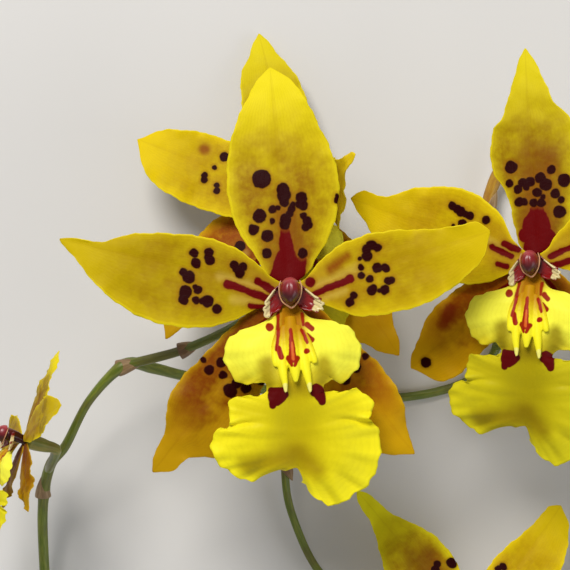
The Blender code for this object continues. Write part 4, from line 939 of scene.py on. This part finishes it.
def makeBlade(bloomName, name):
    bloom, look = blooms[bloomName], blades[name]["look"]
    shape = Shape()
    shape.addSheet(*bladeGrid(bloom, name))
    marks = strayed(bloom["marks"][name], bloom["stray"])
    node = f"{bloomName}_{name}"
    # The blade's colours scaled for its tone and for painted light and shade.
    toneAndLight = bloom["toneAndLight"] * bloom["bladeToneAndLight"].get(name, 1.0)
    finishes = [bladeFinish(node + "Front", look, toneAndLight, marks, bloom["markStrength"], 0.0),
                bladeFinish(node + "Back", look, toneAndLight, marks, 0.3, 0.35)]
    settle(shape, node, finishes, bloomPlace(bloom))


# The lip. Its rows from claw to notch: the midline, then the left and the right edge.
lipRows = (
    ((0.0, -1.8, 1.9), (-1.5, -2.0, 1.9), (1.5, -2.0, 1.9)),
    ((0.0, -3.4, 2.9), (-2.4, -3.6, 2.7), (2.4, -3.6, 2.7)),
    ((0.0, -5.0, 4.0), (-4.5, -5.5, 3.6), (4.1, -5.1, 3.6)),
    ((0.0, -6.4, 5.0), (-7.4, -6.7, 4.6), (8.0, -5.6, 4.6)),
    ((0.1, -8.0, 5.7), (-11.0, -8.2, 4.8), (11.8, -7.1, 4.8)),
    ((0.1, -9.5, 6.1), (-12.8, -11.5, 4.4), (13.7, -11.2, 4.4)),
    ((0.2, -10.9, 6.4), (-11.9, -15.0, 4.8), (12.9, -14.8, 4.8)),
    ((0.4, -12.3, 6.6), (-9.3, -17.8, 5.2), (10.2, -17.3, 5.2)),
    ((0.7, -14.4, 6.7), (-6.6, -17.3, 5.9), (7.9, -17.0, 5.9)),
    ((1.0, -16.6, 6.8), (-4.7, -17.9, 6.3), (6.5, -17.8, 6.3)),
    ((1.1, -18.8, 6.7), (-4.5, -19.2, 6.3), (6.7, -19.1, 6.2)),
    ((1.2, -20.8, 6.5), (-7.0, -20.1, 5.3), (9.0, -19.3, 5.0)),
    ((1.2, -23.4, 6.2), (-10.8, -20.3, 4.1), (12.8, -18.8, 3.8)),
    ((1.2, -25.0, 5.8), (-12.0, -22.4, 3.6), (15.6, -20.6, 3.3)),
    ((1.2, -26.2, 5.4), (-11.6, -24.4, 4.1), (16.2, -22.8, 3.2)),
    ((1.2, -27.2, 5.1), (-11.8, -25.9, 5.0), (15.1, -24.3, 4.4)),
    ((1.2, -28.2, 4.7), (-14.5, -27.0, 3.2), (16.7, -25.8, 3.0)),
    ((1.2, -29.2, 4.4), (-15.3, -29.8, 2.4), (17.6, -29.3, 2.2)),
    ((1.3, -30.2, 4.0), (-14.3, -32.8, 3.0), (17.0, -33.6, 3.0)),
    ((1.3, -31.1, 3.6), (-11.6, -35.0, 1.8), (15.2, -37.3, 1.8)),
    ((1.4, -31.9, 3.2), (-8.2, -36.7, 2.6), (12.0, -39.5, 2.6)),
    ((1.4, -32.6, 2.9), (-5.5, -35.7, 2.2), (8.8, -41.4, 2.0)),
    ((1.5, -33.2, 2.6), (-3.7, -34.3, 2.3), (5.4, -40.3, 2.4)),
    ((1.5, -33.8, 2.4), (-1.0, -34.7, 1.7), (2.3, -36.8, 1.9)),
)
lipShape = {
    "rowParts": 5, "halfColumns": 34, "columnCrowding": 0.15, "bulge": 1.3, "bulgeReach": 10.0,
    "softMiddle": 0.10, "thickness": 0.66, "edgeThickness": 0.18, "frill": 0.28, "scallop": 0.2,
    "calmClaw": 6.0, "blur": 7.0, "edgePower": 2.6, "foldHeight": 1.65, "foldFade": 2.2,
}
# Folds in the lip: where one starts and ends, its width and its height.
lipFolds = (
    ((-12.8, -25.6), (-6.8, -24.6), 0.7, 1.8), ((16.4, -24.8), (10.0, -24.0), 0.75, 2.3),
    ((-13.5, -31.5), (-6.5, -28.5), 1.5, 0.5), ((15.5, -33.0), (8.0, -28.5), 1.7, 0.55),
    ((-8.5, -36.0), (-4.5, -30.5), 1.4, 0.5), ((9.0, -41.0), (6.5, -33.0), 1.4, 0.6),
    ((3.2, -39.5), (2.6, -33.0), 1.1, 0.5), ((-14.6, -28.5), (-8.5, -27.2), 1.2, 0.4),
    ((13.5, -38.0), (8.0, -32.0), 1.3, 0.5),
)
# Soft swellings and hollows of the lip: where each is, its reach across and along, and its height.
lipSwells = (
    (-9.4, -11.0, 2.9, 3.0, 1.0), (10.2, -10.4, 3.0, 3.1, 1.1), (-5.2, -13.4, 1.5, 2.6, -0.5),
    (6.2, -13.2, 1.5, 2.6, -0.5), (1.2, -26.5, 3.6, 5.0, -0.5), (-8.0, -29.5, 4.0, 4.0, 0.45),
    (10.5, -30.5, 4.2, 5.0, 0.5),
)


def blurred(route, blur):
    reach = np.arange(-3 * int(blur), 3 * int(blur) + 1)
    weight = np.exp(-(reach / blur)**2 / 2)
    weight /= weight.sum()
    padded = np.pad(route, ((len(reach) // 2, len(reach) // 2), (0, 0)), mode="edge")
    return np.stack([np.convolve(padded[:, k], weight, mode="valid") for k in range(route.shape[1])], -1)


def lipGrid(bloom):
    shape = lipShape
    rows = np.array(lipRows, float).reshape(len(lipRows), 9)
    rows = smoothRoute(rows, [shape["rowParts"]] * (len(lipRows) - 1))
    middle, left, right = rows[:, None, 0:3], rows[:, None, 3:6], rows[:, None, 6:9]
    u = crowdedToEnds(2 * shape["halfColumns"] + 1, shape["columnCrowding"])
    soft = shape["softMiddle"]
    toRight = ((u + np.sqrt(u * u + soft * soft)) / 2)[None, :, None]
    toLeft = ((-u + np.sqrt(u * u + soft * soft)) / 2)[None, :, None]
    # The edges' small turns fade out towards the middle, which stays smooth.
    soothed = blurred(rows, shape["blur"])
    softLeft, softRight = soothed[:, None, 3:6], soothed[:, None, 6:9]
    points = middle + toRight * (softRight - middle) + toLeft * (softLeft - middle)
    outer = np.abs(u)[None, :, None] ** shape["edgePower"]
    points += outer * np.where((u > 0)[None, :, None], right - softRight, left - softLeft)
    reach = np.where(u[None] > 0, np.abs(softRight - middle)[..., 0], np.abs(softLeft - middle)[..., 0])
    arch = np.sin(math.pi * u)[None]**2 * np.minimum(reach / shape["bulgeReach"], 1)
    points[..., 2] += shape["bulge"] * arch
    # The margin: small scallops in the plane and a frill across it.
    for side, route in ((-1, rows[:, 3:6]), (1, rows[:, 6:9])):
        length = lengthAlong(route)
        outward = np.stack([-np.gradient(route[:, 1]), np.gradient(route[:, 0])], -1) * side
        outward /= np.linalg.norm(outward, axis=1, keepdims=True) + tiny
        begin = np.clip((length - shape["calmClaw"]) / shape["calmClaw"], 0, 1)
        phase = bloom["phase"] + side
        weight = np.where(np.sign(u) == side, np.abs(u), 0.0)[None]
        wave = (np.sin(length * 1.55 + phase) + 0.6 * np.sin(length * 2.7 + 2 * phase)) * begin
        scallop = shape["scallop"] * wave[:, None] * weight**5
        points[..., :2] += scallop[..., None] * outward[:, None]
        frill = (np.sin(length * 1.05 + 2 * phase) + 0.7 * np.sin(length * 2.1 + phase)
                 + 0.3 * np.sin(length * 4.3)) * begin
        points[..., 2] += shape["frill"] * frill[:, None] * weight**3
    x, y = points[..., 0], points[..., 1]
    for (x1, y1), (x2, y2), width, lift in lipFolds:
        span = math.hypot(x2 - x1, y2 - y1)
        ahead = ((x - x1) * (x2 - x1) + (y - y1) * (y2 - y1)) / span / span
        aside = ((y - y1) * (x2 - x1) - (x - x1) * (y2 - y1)) / span * math.copysign(1.0, x2 - x1)
        fade = np.exp(-np.clip(ahead, 0, None)**2 * shape["foldFade"])
        fade *= np.clip(1 - np.abs(np.minimum(ahead, 0)) * 2, 0, 1)
        points[..., 2] += lift * shape["foldHeight"] * (aside / width) * np.exp(-(aside / width)**2) * fade
    for x0, y0, across, along, lift in lipSwells:
        points[..., 2] += lift * np.exp(-((x - x0) / across)**2 - ((y - y0) / along)**2)
    share = pairs(np.linspace(0, 1, len(rows))[:, None], (u[None] + 1) / 2)
    fuller = 1 - np.abs(u)**3
    thick = shape["edgeThickness"] + (shape["thickness"] - shape["edgeThickness"]) * fuller[None]
    return points, thick / 2, points[..., :2].copy(), share


# The crest's ridges as (x, y, z, radius), grown together into one fleshy body.
crestRidges = (
    ((0.0, -5.0, 4.4, 1.2), (0.2, -8.5, 6.2, 1.4), (0.6, -12.0, 7.7, 1.3), (0.95, -15.2, 8.4, 0.95),
     (1.1, -17.2, 8.7, 0.4)),
    ((-1.2, -6.6, 5.2, 0.9), (-1.5, -11.0, 7.0, 1.0), (-1.4, -15.0, 7.9, 0.9), (-1.0, -17.4, 8.3, 0.6),
     (-0.8, -19.2, 8.3, 0.3)),
    ((1.4, -6.6, 5.2, 0.9), (2.4, -11.0, 7.0, 1.0), (3.1, -15.0, 7.9, 0.9), (3.6, -17.4, 8.3, 0.6),
     (3.9, -19.2, 8.3, 0.3)),
    ((-2.4, -7.4, 5.5, 0.75), (-2.9, -10.6, 6.9, 0.75), (-2.8, -13.2, 7.7, 0.7), (-2.7, -14.3, 7.9, 0.45)),
    ((2.6, -7.4, 5.5, 0.75), (3.7, -10.2, 6.9, 0.72), (4.5, -12.6, 7.7, 0.68), (4.8, -13.6, 7.9, 0.45)),
)
crestShape = {"step": 0.4, "sides": 14, "voxel": 0.2, "smoothings": 4, "smoothing": 0.5}


def addCrest(shape):
    body = Shape()
    for route in crestRidges:
        body.addBar(routeWithStep(route, crestShape["step"]), crestShape["sides"])
    rough = body.toObject("crestDraft", [], Matrix.Identity(4))
    grown = rough.modifiers.new("grown", "REMESH")
    grown.mode = "VOXEL"
    grown.voxel_size = crestShape["voxel"] * mm
    rounded = rough.modifiers.new("rounded", "SMOOTH")
    rounded.iterations = crestShape["smoothings"]
    rounded.factor = crestShape["smoothing"]
    mesh = bpy.data.meshes.new_from_object(rough.evaluated_get(bpy.context.evaluated_depsgraph_get()))
    points = np.zeros(len(mesh.vertices) * 3)
    mesh.vertices.foreach_get("co", points)
    points = points.reshape(-1, 3) / mm
    flat = points[:, :2]
    shape.add(points, [tuple(p.vertices) for p in mesh.polygons], flat, flat * 0.05, 2)
    bpy.data.objects.remove(rough)


def makeLip(bloomName, finishes):
    bloom = blooms[bloomName]
    shape = Shape()
    shape.addSheet(*lipGrid(bloom))
    addCrest(shape)
    settle(shape, bloomName + "_lip", finishes, lipPlace(bloom))


# The column: its body, the pale rim that runs round the cap's lower side, and its two wings.
columnShape = {
    "body": ((0.0, 0.0, -0.9, 1.4), (0.0, 0.1, 1.0, 1.4), (0.0, 0.4, 3.0, 1.65), (0.0, 0.4, 5.0, 1.95),
             (0.0, 0.4, 6.2, 1.9)),
    "bodyStep": 0.4, "bodySides": 28,
    "rim": ((-1.8, 2.2, 6.45, 0.10), (-2.1, 1.1, 6.6, 0.14), (-1.98, -0.6, 6.65, 0.14),
            (-1.4, -1.9, 6.6, 0.14), (-0.2, -2.75, 6.5, 0.18), (0.4, -2.95, 6.4, 0.22),
            (1.3, -2.1, 6.6, 0.15), (2.0, -0.7, 6.65, 0.15), (2.2, 1.0, 6.6, 0.16),
            (1.85, 2.3, 6.45, 0.10)),
    "rimStep": 0.25, "rimSides": 12,
    "innerLeft": ((-1.4, 1.7, 4.6), (-1.7, 0.4, 4.5), (-1.6, -0.9, 4.4), (-1.2, -2.2, 4.3)),
    "outerLeft": ((-2.0, 1.3, 5.0), (-2.9, 0.6, 5.2), (-3.7, -0.4, 5.4), (-4.4, -1.4, 5.6),
                  (-4.9, -2.1, 5.6), (-4.7, -2.7, 5.6), (-5.2, -3.3, 5.5), (-4.9, -3.9, 5.4),
                  (-5.0, -4.7, 5.3), (-4.2, -4.9, 5.2), (-3.7, -4.1, 5.0), (-2.9, -3.9, 4.8),
                  (-1.9, -3.2, 4.6)),
    "innerRight": ((1.4, 1.7, 4.6), (1.7, 0.4, 4.5), (1.6, -0.9, 4.4), (1.3, -2.2, 4.3)),
    "outerRight": ((2.0, 1.4, 5.0), (2.9, 0.7, 5.2), (4.0, -0.2, 5.4), (5.1, -1.1, 5.6), (6.0, -1.3, 5.6),
                   (5.8, -1.9, 5.6), (6.6, -2.2, 5.6), (6.1, -2.7, 5.5), (6.4, -3.4, 5.5), (5.6, -3.3, 5.4),
                   (5.3, -4.0, 5.3), (4.8, -3.5, 5.1), (3.6, -3.6, 4.9), (2.0, -3.0, 4.6)),
    "wingThickness": 0.34, "wingHollow": 0.7, "wingColumns": 13,
}


def addWing(shape, inner, outer, side):
    outer = smoothRoute(outer, [4] * (len(outer) - 1))
    inner = smoothRoute(inner, [16] * (len(inner) - 1))
    pick = np.linspace(0, len(inner) - 1, len(outer))
    inner = np.stack([np.interp(pick, np.arange(len(inner)), inner[:, k]) for k in range(3)], -1)
    v = np.linspace(0, 1, columnShape["wingColumns"])
    middle = inner[:, None] * (1 - v)[None, :, None] + outer[:, None] * v[None, :, None]
    middle[..., 2] -= columnShape["wingHollow"] * np.sin(math.pi * v)[None]
    shape.addSheet(middle[:, ::side], columnShape["wingThickness"] / 2, slot=0)


def makeColumn(bloomName, finishes):
    shape = Shape()
    shape.addBar(routeWithStep(columnShape["body"], columnShape["bodyStep"]), columnShape["bodySides"])
    shape.addBar(routeWithStep(columnShape["rim"], columnShape["rimStep"]), columnShape["rimSides"], 1)
    addWing(shape, columnShape["innerLeft"], columnShape["outerLeft"], -1)
    addWing(shape, columnShape["innerRight"], columnShape["outerRight"], 1)
    settle(shape, bloomName + "_column", finishes, bloomPlace(blooms[bloomName]))


# The cap, a dome of rings.
capShape = {"rings": 26, "sides": 40, "middle": (0.0, 0.3), "foot": 6.55, "height": 2.55, "halfWidth": 2.05,
            "upper": 2.6, "lower": 2.75, "narrowing": 0.28, "crease": 0.16, "creaseWidth": 0.35,
            "creaseMiddle": 0.6, "creaseReach": 3.0, "roundness": 0.8}


# One ring of the cap, which narrows to a blunt point at its lower end and has a crease on top.
def capRing(climb):
    shape = capShape
    across, up = math.cos(climb)**shape["roundness"], math.sin(climb)
    ring = []
    for n in range(shape["sides"]):
        angle = 2 * math.pi * n / shape["sides"]
        x, y = shape["halfWidth"] * math.cos(angle), math.sin(angle)
        if y < 0:
            x *= 1 - shape["narrowing"] * y * y
        y *= shape["upper"] if y > 0 else shape["lower"]
        fromMiddle = abs(y * across - shape["creaseMiddle"]) / shape["creaseReach"]
        dent = (shape["crease"] * math.exp(-(x * across / shape["creaseWidth"])**2) * up
                * max(0.0, 1 - fromMiddle))
        ring.append((shape["middle"][0] + x * across, shape["middle"][1] + y * across,
                     shape["foot"] + shape["height"] * up - dent))
    return ring


def makeCap(bloomName, finishes):
    rings = capShape["rings"]
    points = np.array([capRing(k / rings * math.pi / 2) for k in range(rings + 1)]).reshape(-1, 3)
    body = Shape()
    body.add(points, ringFaces(rings + 1, capShape["sides"]), points[:, :2], points[:, :2] * 0.1, 0)
    settle(body, bloomName + "_anther_cap", finishes, bloomPlace(blooms[bloomName]))


print("making the blooms")
lipBack, crest = lipFinish("lipBack", 1.0, False, 0.4), crestFinish("crest")
columnFinishes = [columnFinish("column"), rimFinish("columnRim")]
capFinishes = [capFinish("antherCap")]
for bloomName in blooms:
    for bladeName in blades:
        makeBlade(bloomName, bladeName)
    lipFront = lipFinish(bloomName + "LipFront", blooms[bloomName]["lipToneAndShade"], True, 0.0)
    makeLip(bloomName, [lipFront, lipBack, crest])
    makeColumn(bloomName, columnFinishes)
    makeCap(bloomName, capFinishes)
    print(bloomName, "bloom made")


# The stem, as routes of (x, y, z, radius).
cutStem = (
    (-52.4, -92.0, 1.0, 1.25), (-52.4, -84.0, 1.0, 1.2), (-52.5, -66.0, 3.2, 1.1),
    (-52.6, -47.2, 8.5, 1.1),
    (-50.6, -37.0, 13.6, 1.15), (-46.9, -32.2, 16.6, 1.0), (-41.5, -22.5, 21.0, 0.9),
    (-34.0, -15.1, 24.0, 1.2), (-28.4, -16.0, 18.5, 1.2), (-22.3, -17.8, 12.0, 1.1),
    (-10.0, -20.4, 6.4, 1.0), (1.0, -21.6, 3.6, 1.0), (12.0, -22.6, 2.2, 0.95),
    (24.4, -22.9, 1.2, 0.95), (35.7, -20.6, 0.7, 0.95), (42.2, -16.6, 0.75, 0.95),
    (45.6, -8.0, 1.6, 0.95), (44.6, 6.0, 2.8, 0.9), (42.4, 17.0, 3.6, 1.0),
    (44.0, 23.5, 4.4, 1.4), (46.5, 28.0, 5.4, 1.3), (48.6, 32.0, 6.4, 0.4),
)
stalks = {
    "front": ((-34.0, -15.1, 24.0, 1.0), (-27.8, -13.6, 27.6, 1.0), (-21.4, -11.7, 30.4, 0.95),
              (-13.5, -8.2, 33.4, 0.9), (-5.0, -3.4, 36.0, 1.0)),
    "right": ((44.4, -12.0, 1.1, 0.9), (48.8, -10.2, 6.5, 0.9), (52.2, -3.0, 14.0, 0.95),
              (52.8, 3.4, 21.5, 1.1)),
    "rear": ((8.7, -22.4, 2.6, 0.9), (8.6, -13.0, 2.1, 0.85), (7.2, -2.0, 1.15, 0.95),
             (4.6, 8.0, 1.2, 1.3)),
    "left": ((-50.6, -37.0, 13.6, 0.95), (-50.2, -37.0, 19.0, 0.85), (-49.2, -35.6, 25.0, 0.85),
             (-47.8, -33.2, 30.2, 0.95)),
    "low": ((1.0, -21.6, 3.6, 0.9), (-0.4, -29.0, 4.6, 0.8), (-1.0, -38.2, 5.2, 0.85),
            (0.6, -48.0, 5.0, 0.85), (7.0, -61.0, 4.2, 0.85), (19.0, -69.6, 3.4, 0.95),
            (30.4, -74.4, 5.0, 1.2)),
}
ovarySteps = ((10.5, 1.5), (7.5, 1.9), (4.5, 2.3), (2.0, 2.3), (0.9, 2.5))
scaleLeaves = (
    ((-34.6, -15.6, 24.0), (0.85, 0.25, 0.45), 7.0), ((-21.8, -11.9, 30.2), (0.9, 0.35, 0.3), 5.0),
    ((-52.3, -42.8, 10.6), (0.0, 0.87, 0.55), 5.0), ((-52.4, -72.0, 2.8), (0.05, 0.95, 0.2), 8.0),
    ((9.4, -22.4, 2.7), (0.1, 0.95, 0.2), 5.0), ((0.0, -21.8, 3.8), (-0.2, -0.9, 0.2), 5.0),
    ((-1.0, -36.6, 5.1), (0.35, -0.85, 0.35), 5.0), ((45.6, -9.5, 1.5), (-0.1, 0.9, 0.3), 5.0),
    ((42.9, 18.2, 3.8), (0.35, 0.9, 0.25), 5.0),
)
stemShape = {
    "step": 1.0, "sides": 20, "nodeSwell": 0.22, "nodeReach": 1.4, "youngRings": 16,
    "stalkStep": 0.8, "stalkSides": 24, "stalkLobes": 6, "lobeDepth": 0.05, "ovaryLength": 12.0,
    "leafRows": 22, "leafColumns": 17, "leafWrap": 105.0, "leafWidth": 1.5, "leafFlatness": 0.6,
    "leafThickness": 0.34,
}


def nodeSwelling(route):
    swollen = route.copy()
    for root, direction, length in scaleLeaves:
        away = np.linalg.norm(route[:, :3] - np.array(root), axis=1)
        swollen[:, 3] += stemShape["nodeSwell"] * np.exp(-(away / stemShape["nodeReach"])**2)
    return swollen


def addScaleLeaf(shape, root, direction, length):
    forward = np.array(Vector(direction).normalized())
    aside = np.array(Vector(direction).cross(Vector((0.0, 0.0, 1.0))).normalized())
    over = np.cross(aside, forward)
    v = np.linspace(0, 1, stemShape["leafRows"])[:, None]
    wrap = math.radians(stemShape["leafWrap"])
    angle = np.linspace(wrap, -wrap, stemShape["leafColumns"])[None]
    width = stemShape["leafWidth"] * (1 - v**1.7) + 0.05
    rise = width * stemShape["leafFlatness"] * np.cos(angle) + 0.15 - 0.5 * v * v
    middle = (np.array(root) + ((v - 0.12) * length)[..., None] * forward
              + (width * np.sin(angle))[..., None] * aside + rise[..., None] * over)
    share = pairs(angle / 6.0 + 0 * v, v * length + 0 * angle)
    shape.addSheet(middle, stemShape["leafThickness"] / 2 * (1.1 - v), share=share, slot=2)


def makeStem():
    shape = Shape()
    route = nodeSwelling(routeWithStep(cutStem, stemShape["step"]))
    young = stemShape["youngRings"] * stemShape["sides"]
    grown = (len(route) - 1) * stemShape["sides"] - young
    shape.addBar(route, stemShape["sides"], [0] * grown + [4] * young + [3, 4])
    home = Matrix.Translation(sprayMove)
    for bloomName, stalk in stalks.items():
        bloom = blooms[bloomName]
        place = home.inverted() @ bloomPlace(bloom)
        ovary = [(*(place @ Vector((0.0, 0.0, -back * mm)) / mm), radius * bloom["size"])
                 for back, radius in ovarySteps]
        route = routeWithStep([*stalk, *ovary], stemShape["stalkStep"])
        sides = stemShape["stalkSides"]
        greenRings = len(route) - round(stemShape["ovaryLength"] * bloom["size"] / stemShape["stalkStep"])
        slots = [0 if k // sides < greenRings else 1 for k in range((len(route) - 1) * sides + 2)]
        shape.addBar(route, sides, slots, stemShape["stalkLobes"], stemShape["lobeDepth"])
    for root, direction, length in scaleLeaves:
        addScaleLeaf(shape, root, direction, length)
    for group in shape.points:
        group[:, 2] = np.maximum(group[:, 2], 0.0)      # pared flat where it rests on the table
    finishes = [stemFinish(key, look) for key, look in stemLooks.items()]
    settle(shape, "flower_stem", finishes, home)


makeStem()
print("stem made")


# Floor, light and camera. A lamp has a place, a size, its watts and its colour.
stageLook = {
    "floorSize": 4.0, "floorColour": (0.70, 0.69, 0.67), "floorFleck": (0.65, 0.64, 0.62),
    "floorRoughness": 0.85, "sky": (0.94, 0.96, 1.0), "skyStrength": 0.30,
    "cameraPlace": (-0.98, 1.37, 500.0), "lens": 145.75, "sensor": 36.0, "clipStart": 0.01,
    "lampsLookAt": (0.0, 0.0, 0.02),
}
lamps = {
    "keyLamp": ((-0.22, 0.5, 0.74), 0.42, 7.0, (1.0, 0.97, 0.93)),
    "fillLamp": ((0.75, -0.35, 0.6), 0.7, 1.9, (0.94, 0.96, 1.0)),
    "lowLamp": ((0.1, -0.9, 0.35), 0.6, 0.7, (1.0, 0.98, 0.96)),
}


def makeFloor():
    half = stageLook["floorSize"] / 2
    corners = [(-half, -half, 0), (half, -half, 0), (half, half, 0), (-half, half, 0)]
    mesh = bpy.data.meshes.new("floor")
    mesh.from_pydata(corners, [], [(0, 1, 2, 3)])
    finish = Finish("paleFloor")
    cloud = finish.value("ShaderNodeTexCoord", output="Object").grain(6.0)
    colour = finish.blend(stageLook["floorColour"], (cloud, stageLook["floorFleck"]))
    finish.put(finish.surface.inputs["Base Color"], colour)
    finish.put(finish.surface.inputs["Roughness"], stageLook["floorRoughness"])
    mesh.materials.append(finish.material)
    floor = linked("floor", mesh)


def addLamp(name, place, size, watts, colour):
    lamp = bpy.data.lights.new(name, "AREA")
    lamp.shape = "DISK"
    lamp.size = size
    lamp.energy = watts
    lamp.color = colour
    holder = linked(name, lamp)
    holder.location = place
    towards = Vector(stageLook["lampsLookAt"]) - Vector(place)
    holder.rotation_euler = towards.to_track_quat("-Z", "Y").to_euler()


def makeSky():
    world = bpy.data.worlds.new("studio")
    world.use_nodes = True
    background = world.node_tree.nodes["Background"]
    background.inputs["Color"].default_value = (*stageLook["sky"], 1.0)
    background.inputs["Strength"].default_value = stageLook["skyStrength"]
    bpy.context.scene.world = world


def makeCamera():
    data = bpy.data.cameras.new("camera")
    data.sensor_width = stageLook["sensor"]
    data.lens = stageLook["lens"]
    data.clip_start = stageLook["clipStart"]
    camera = linked("camera", data)
    camera.location = sprayMove + Vector(stageLook["cameraPlace"]) * mm
    bpy.context.scene.camera = camera


makeFloor()
makeSky()
for lampName, lampValues in lamps.items():
    addLamp(lampName, *lampValues)
makeCamera()
bpy.context.scene.view_settings.view_transform = "Standard"
print("floor, lamps and camera placed")
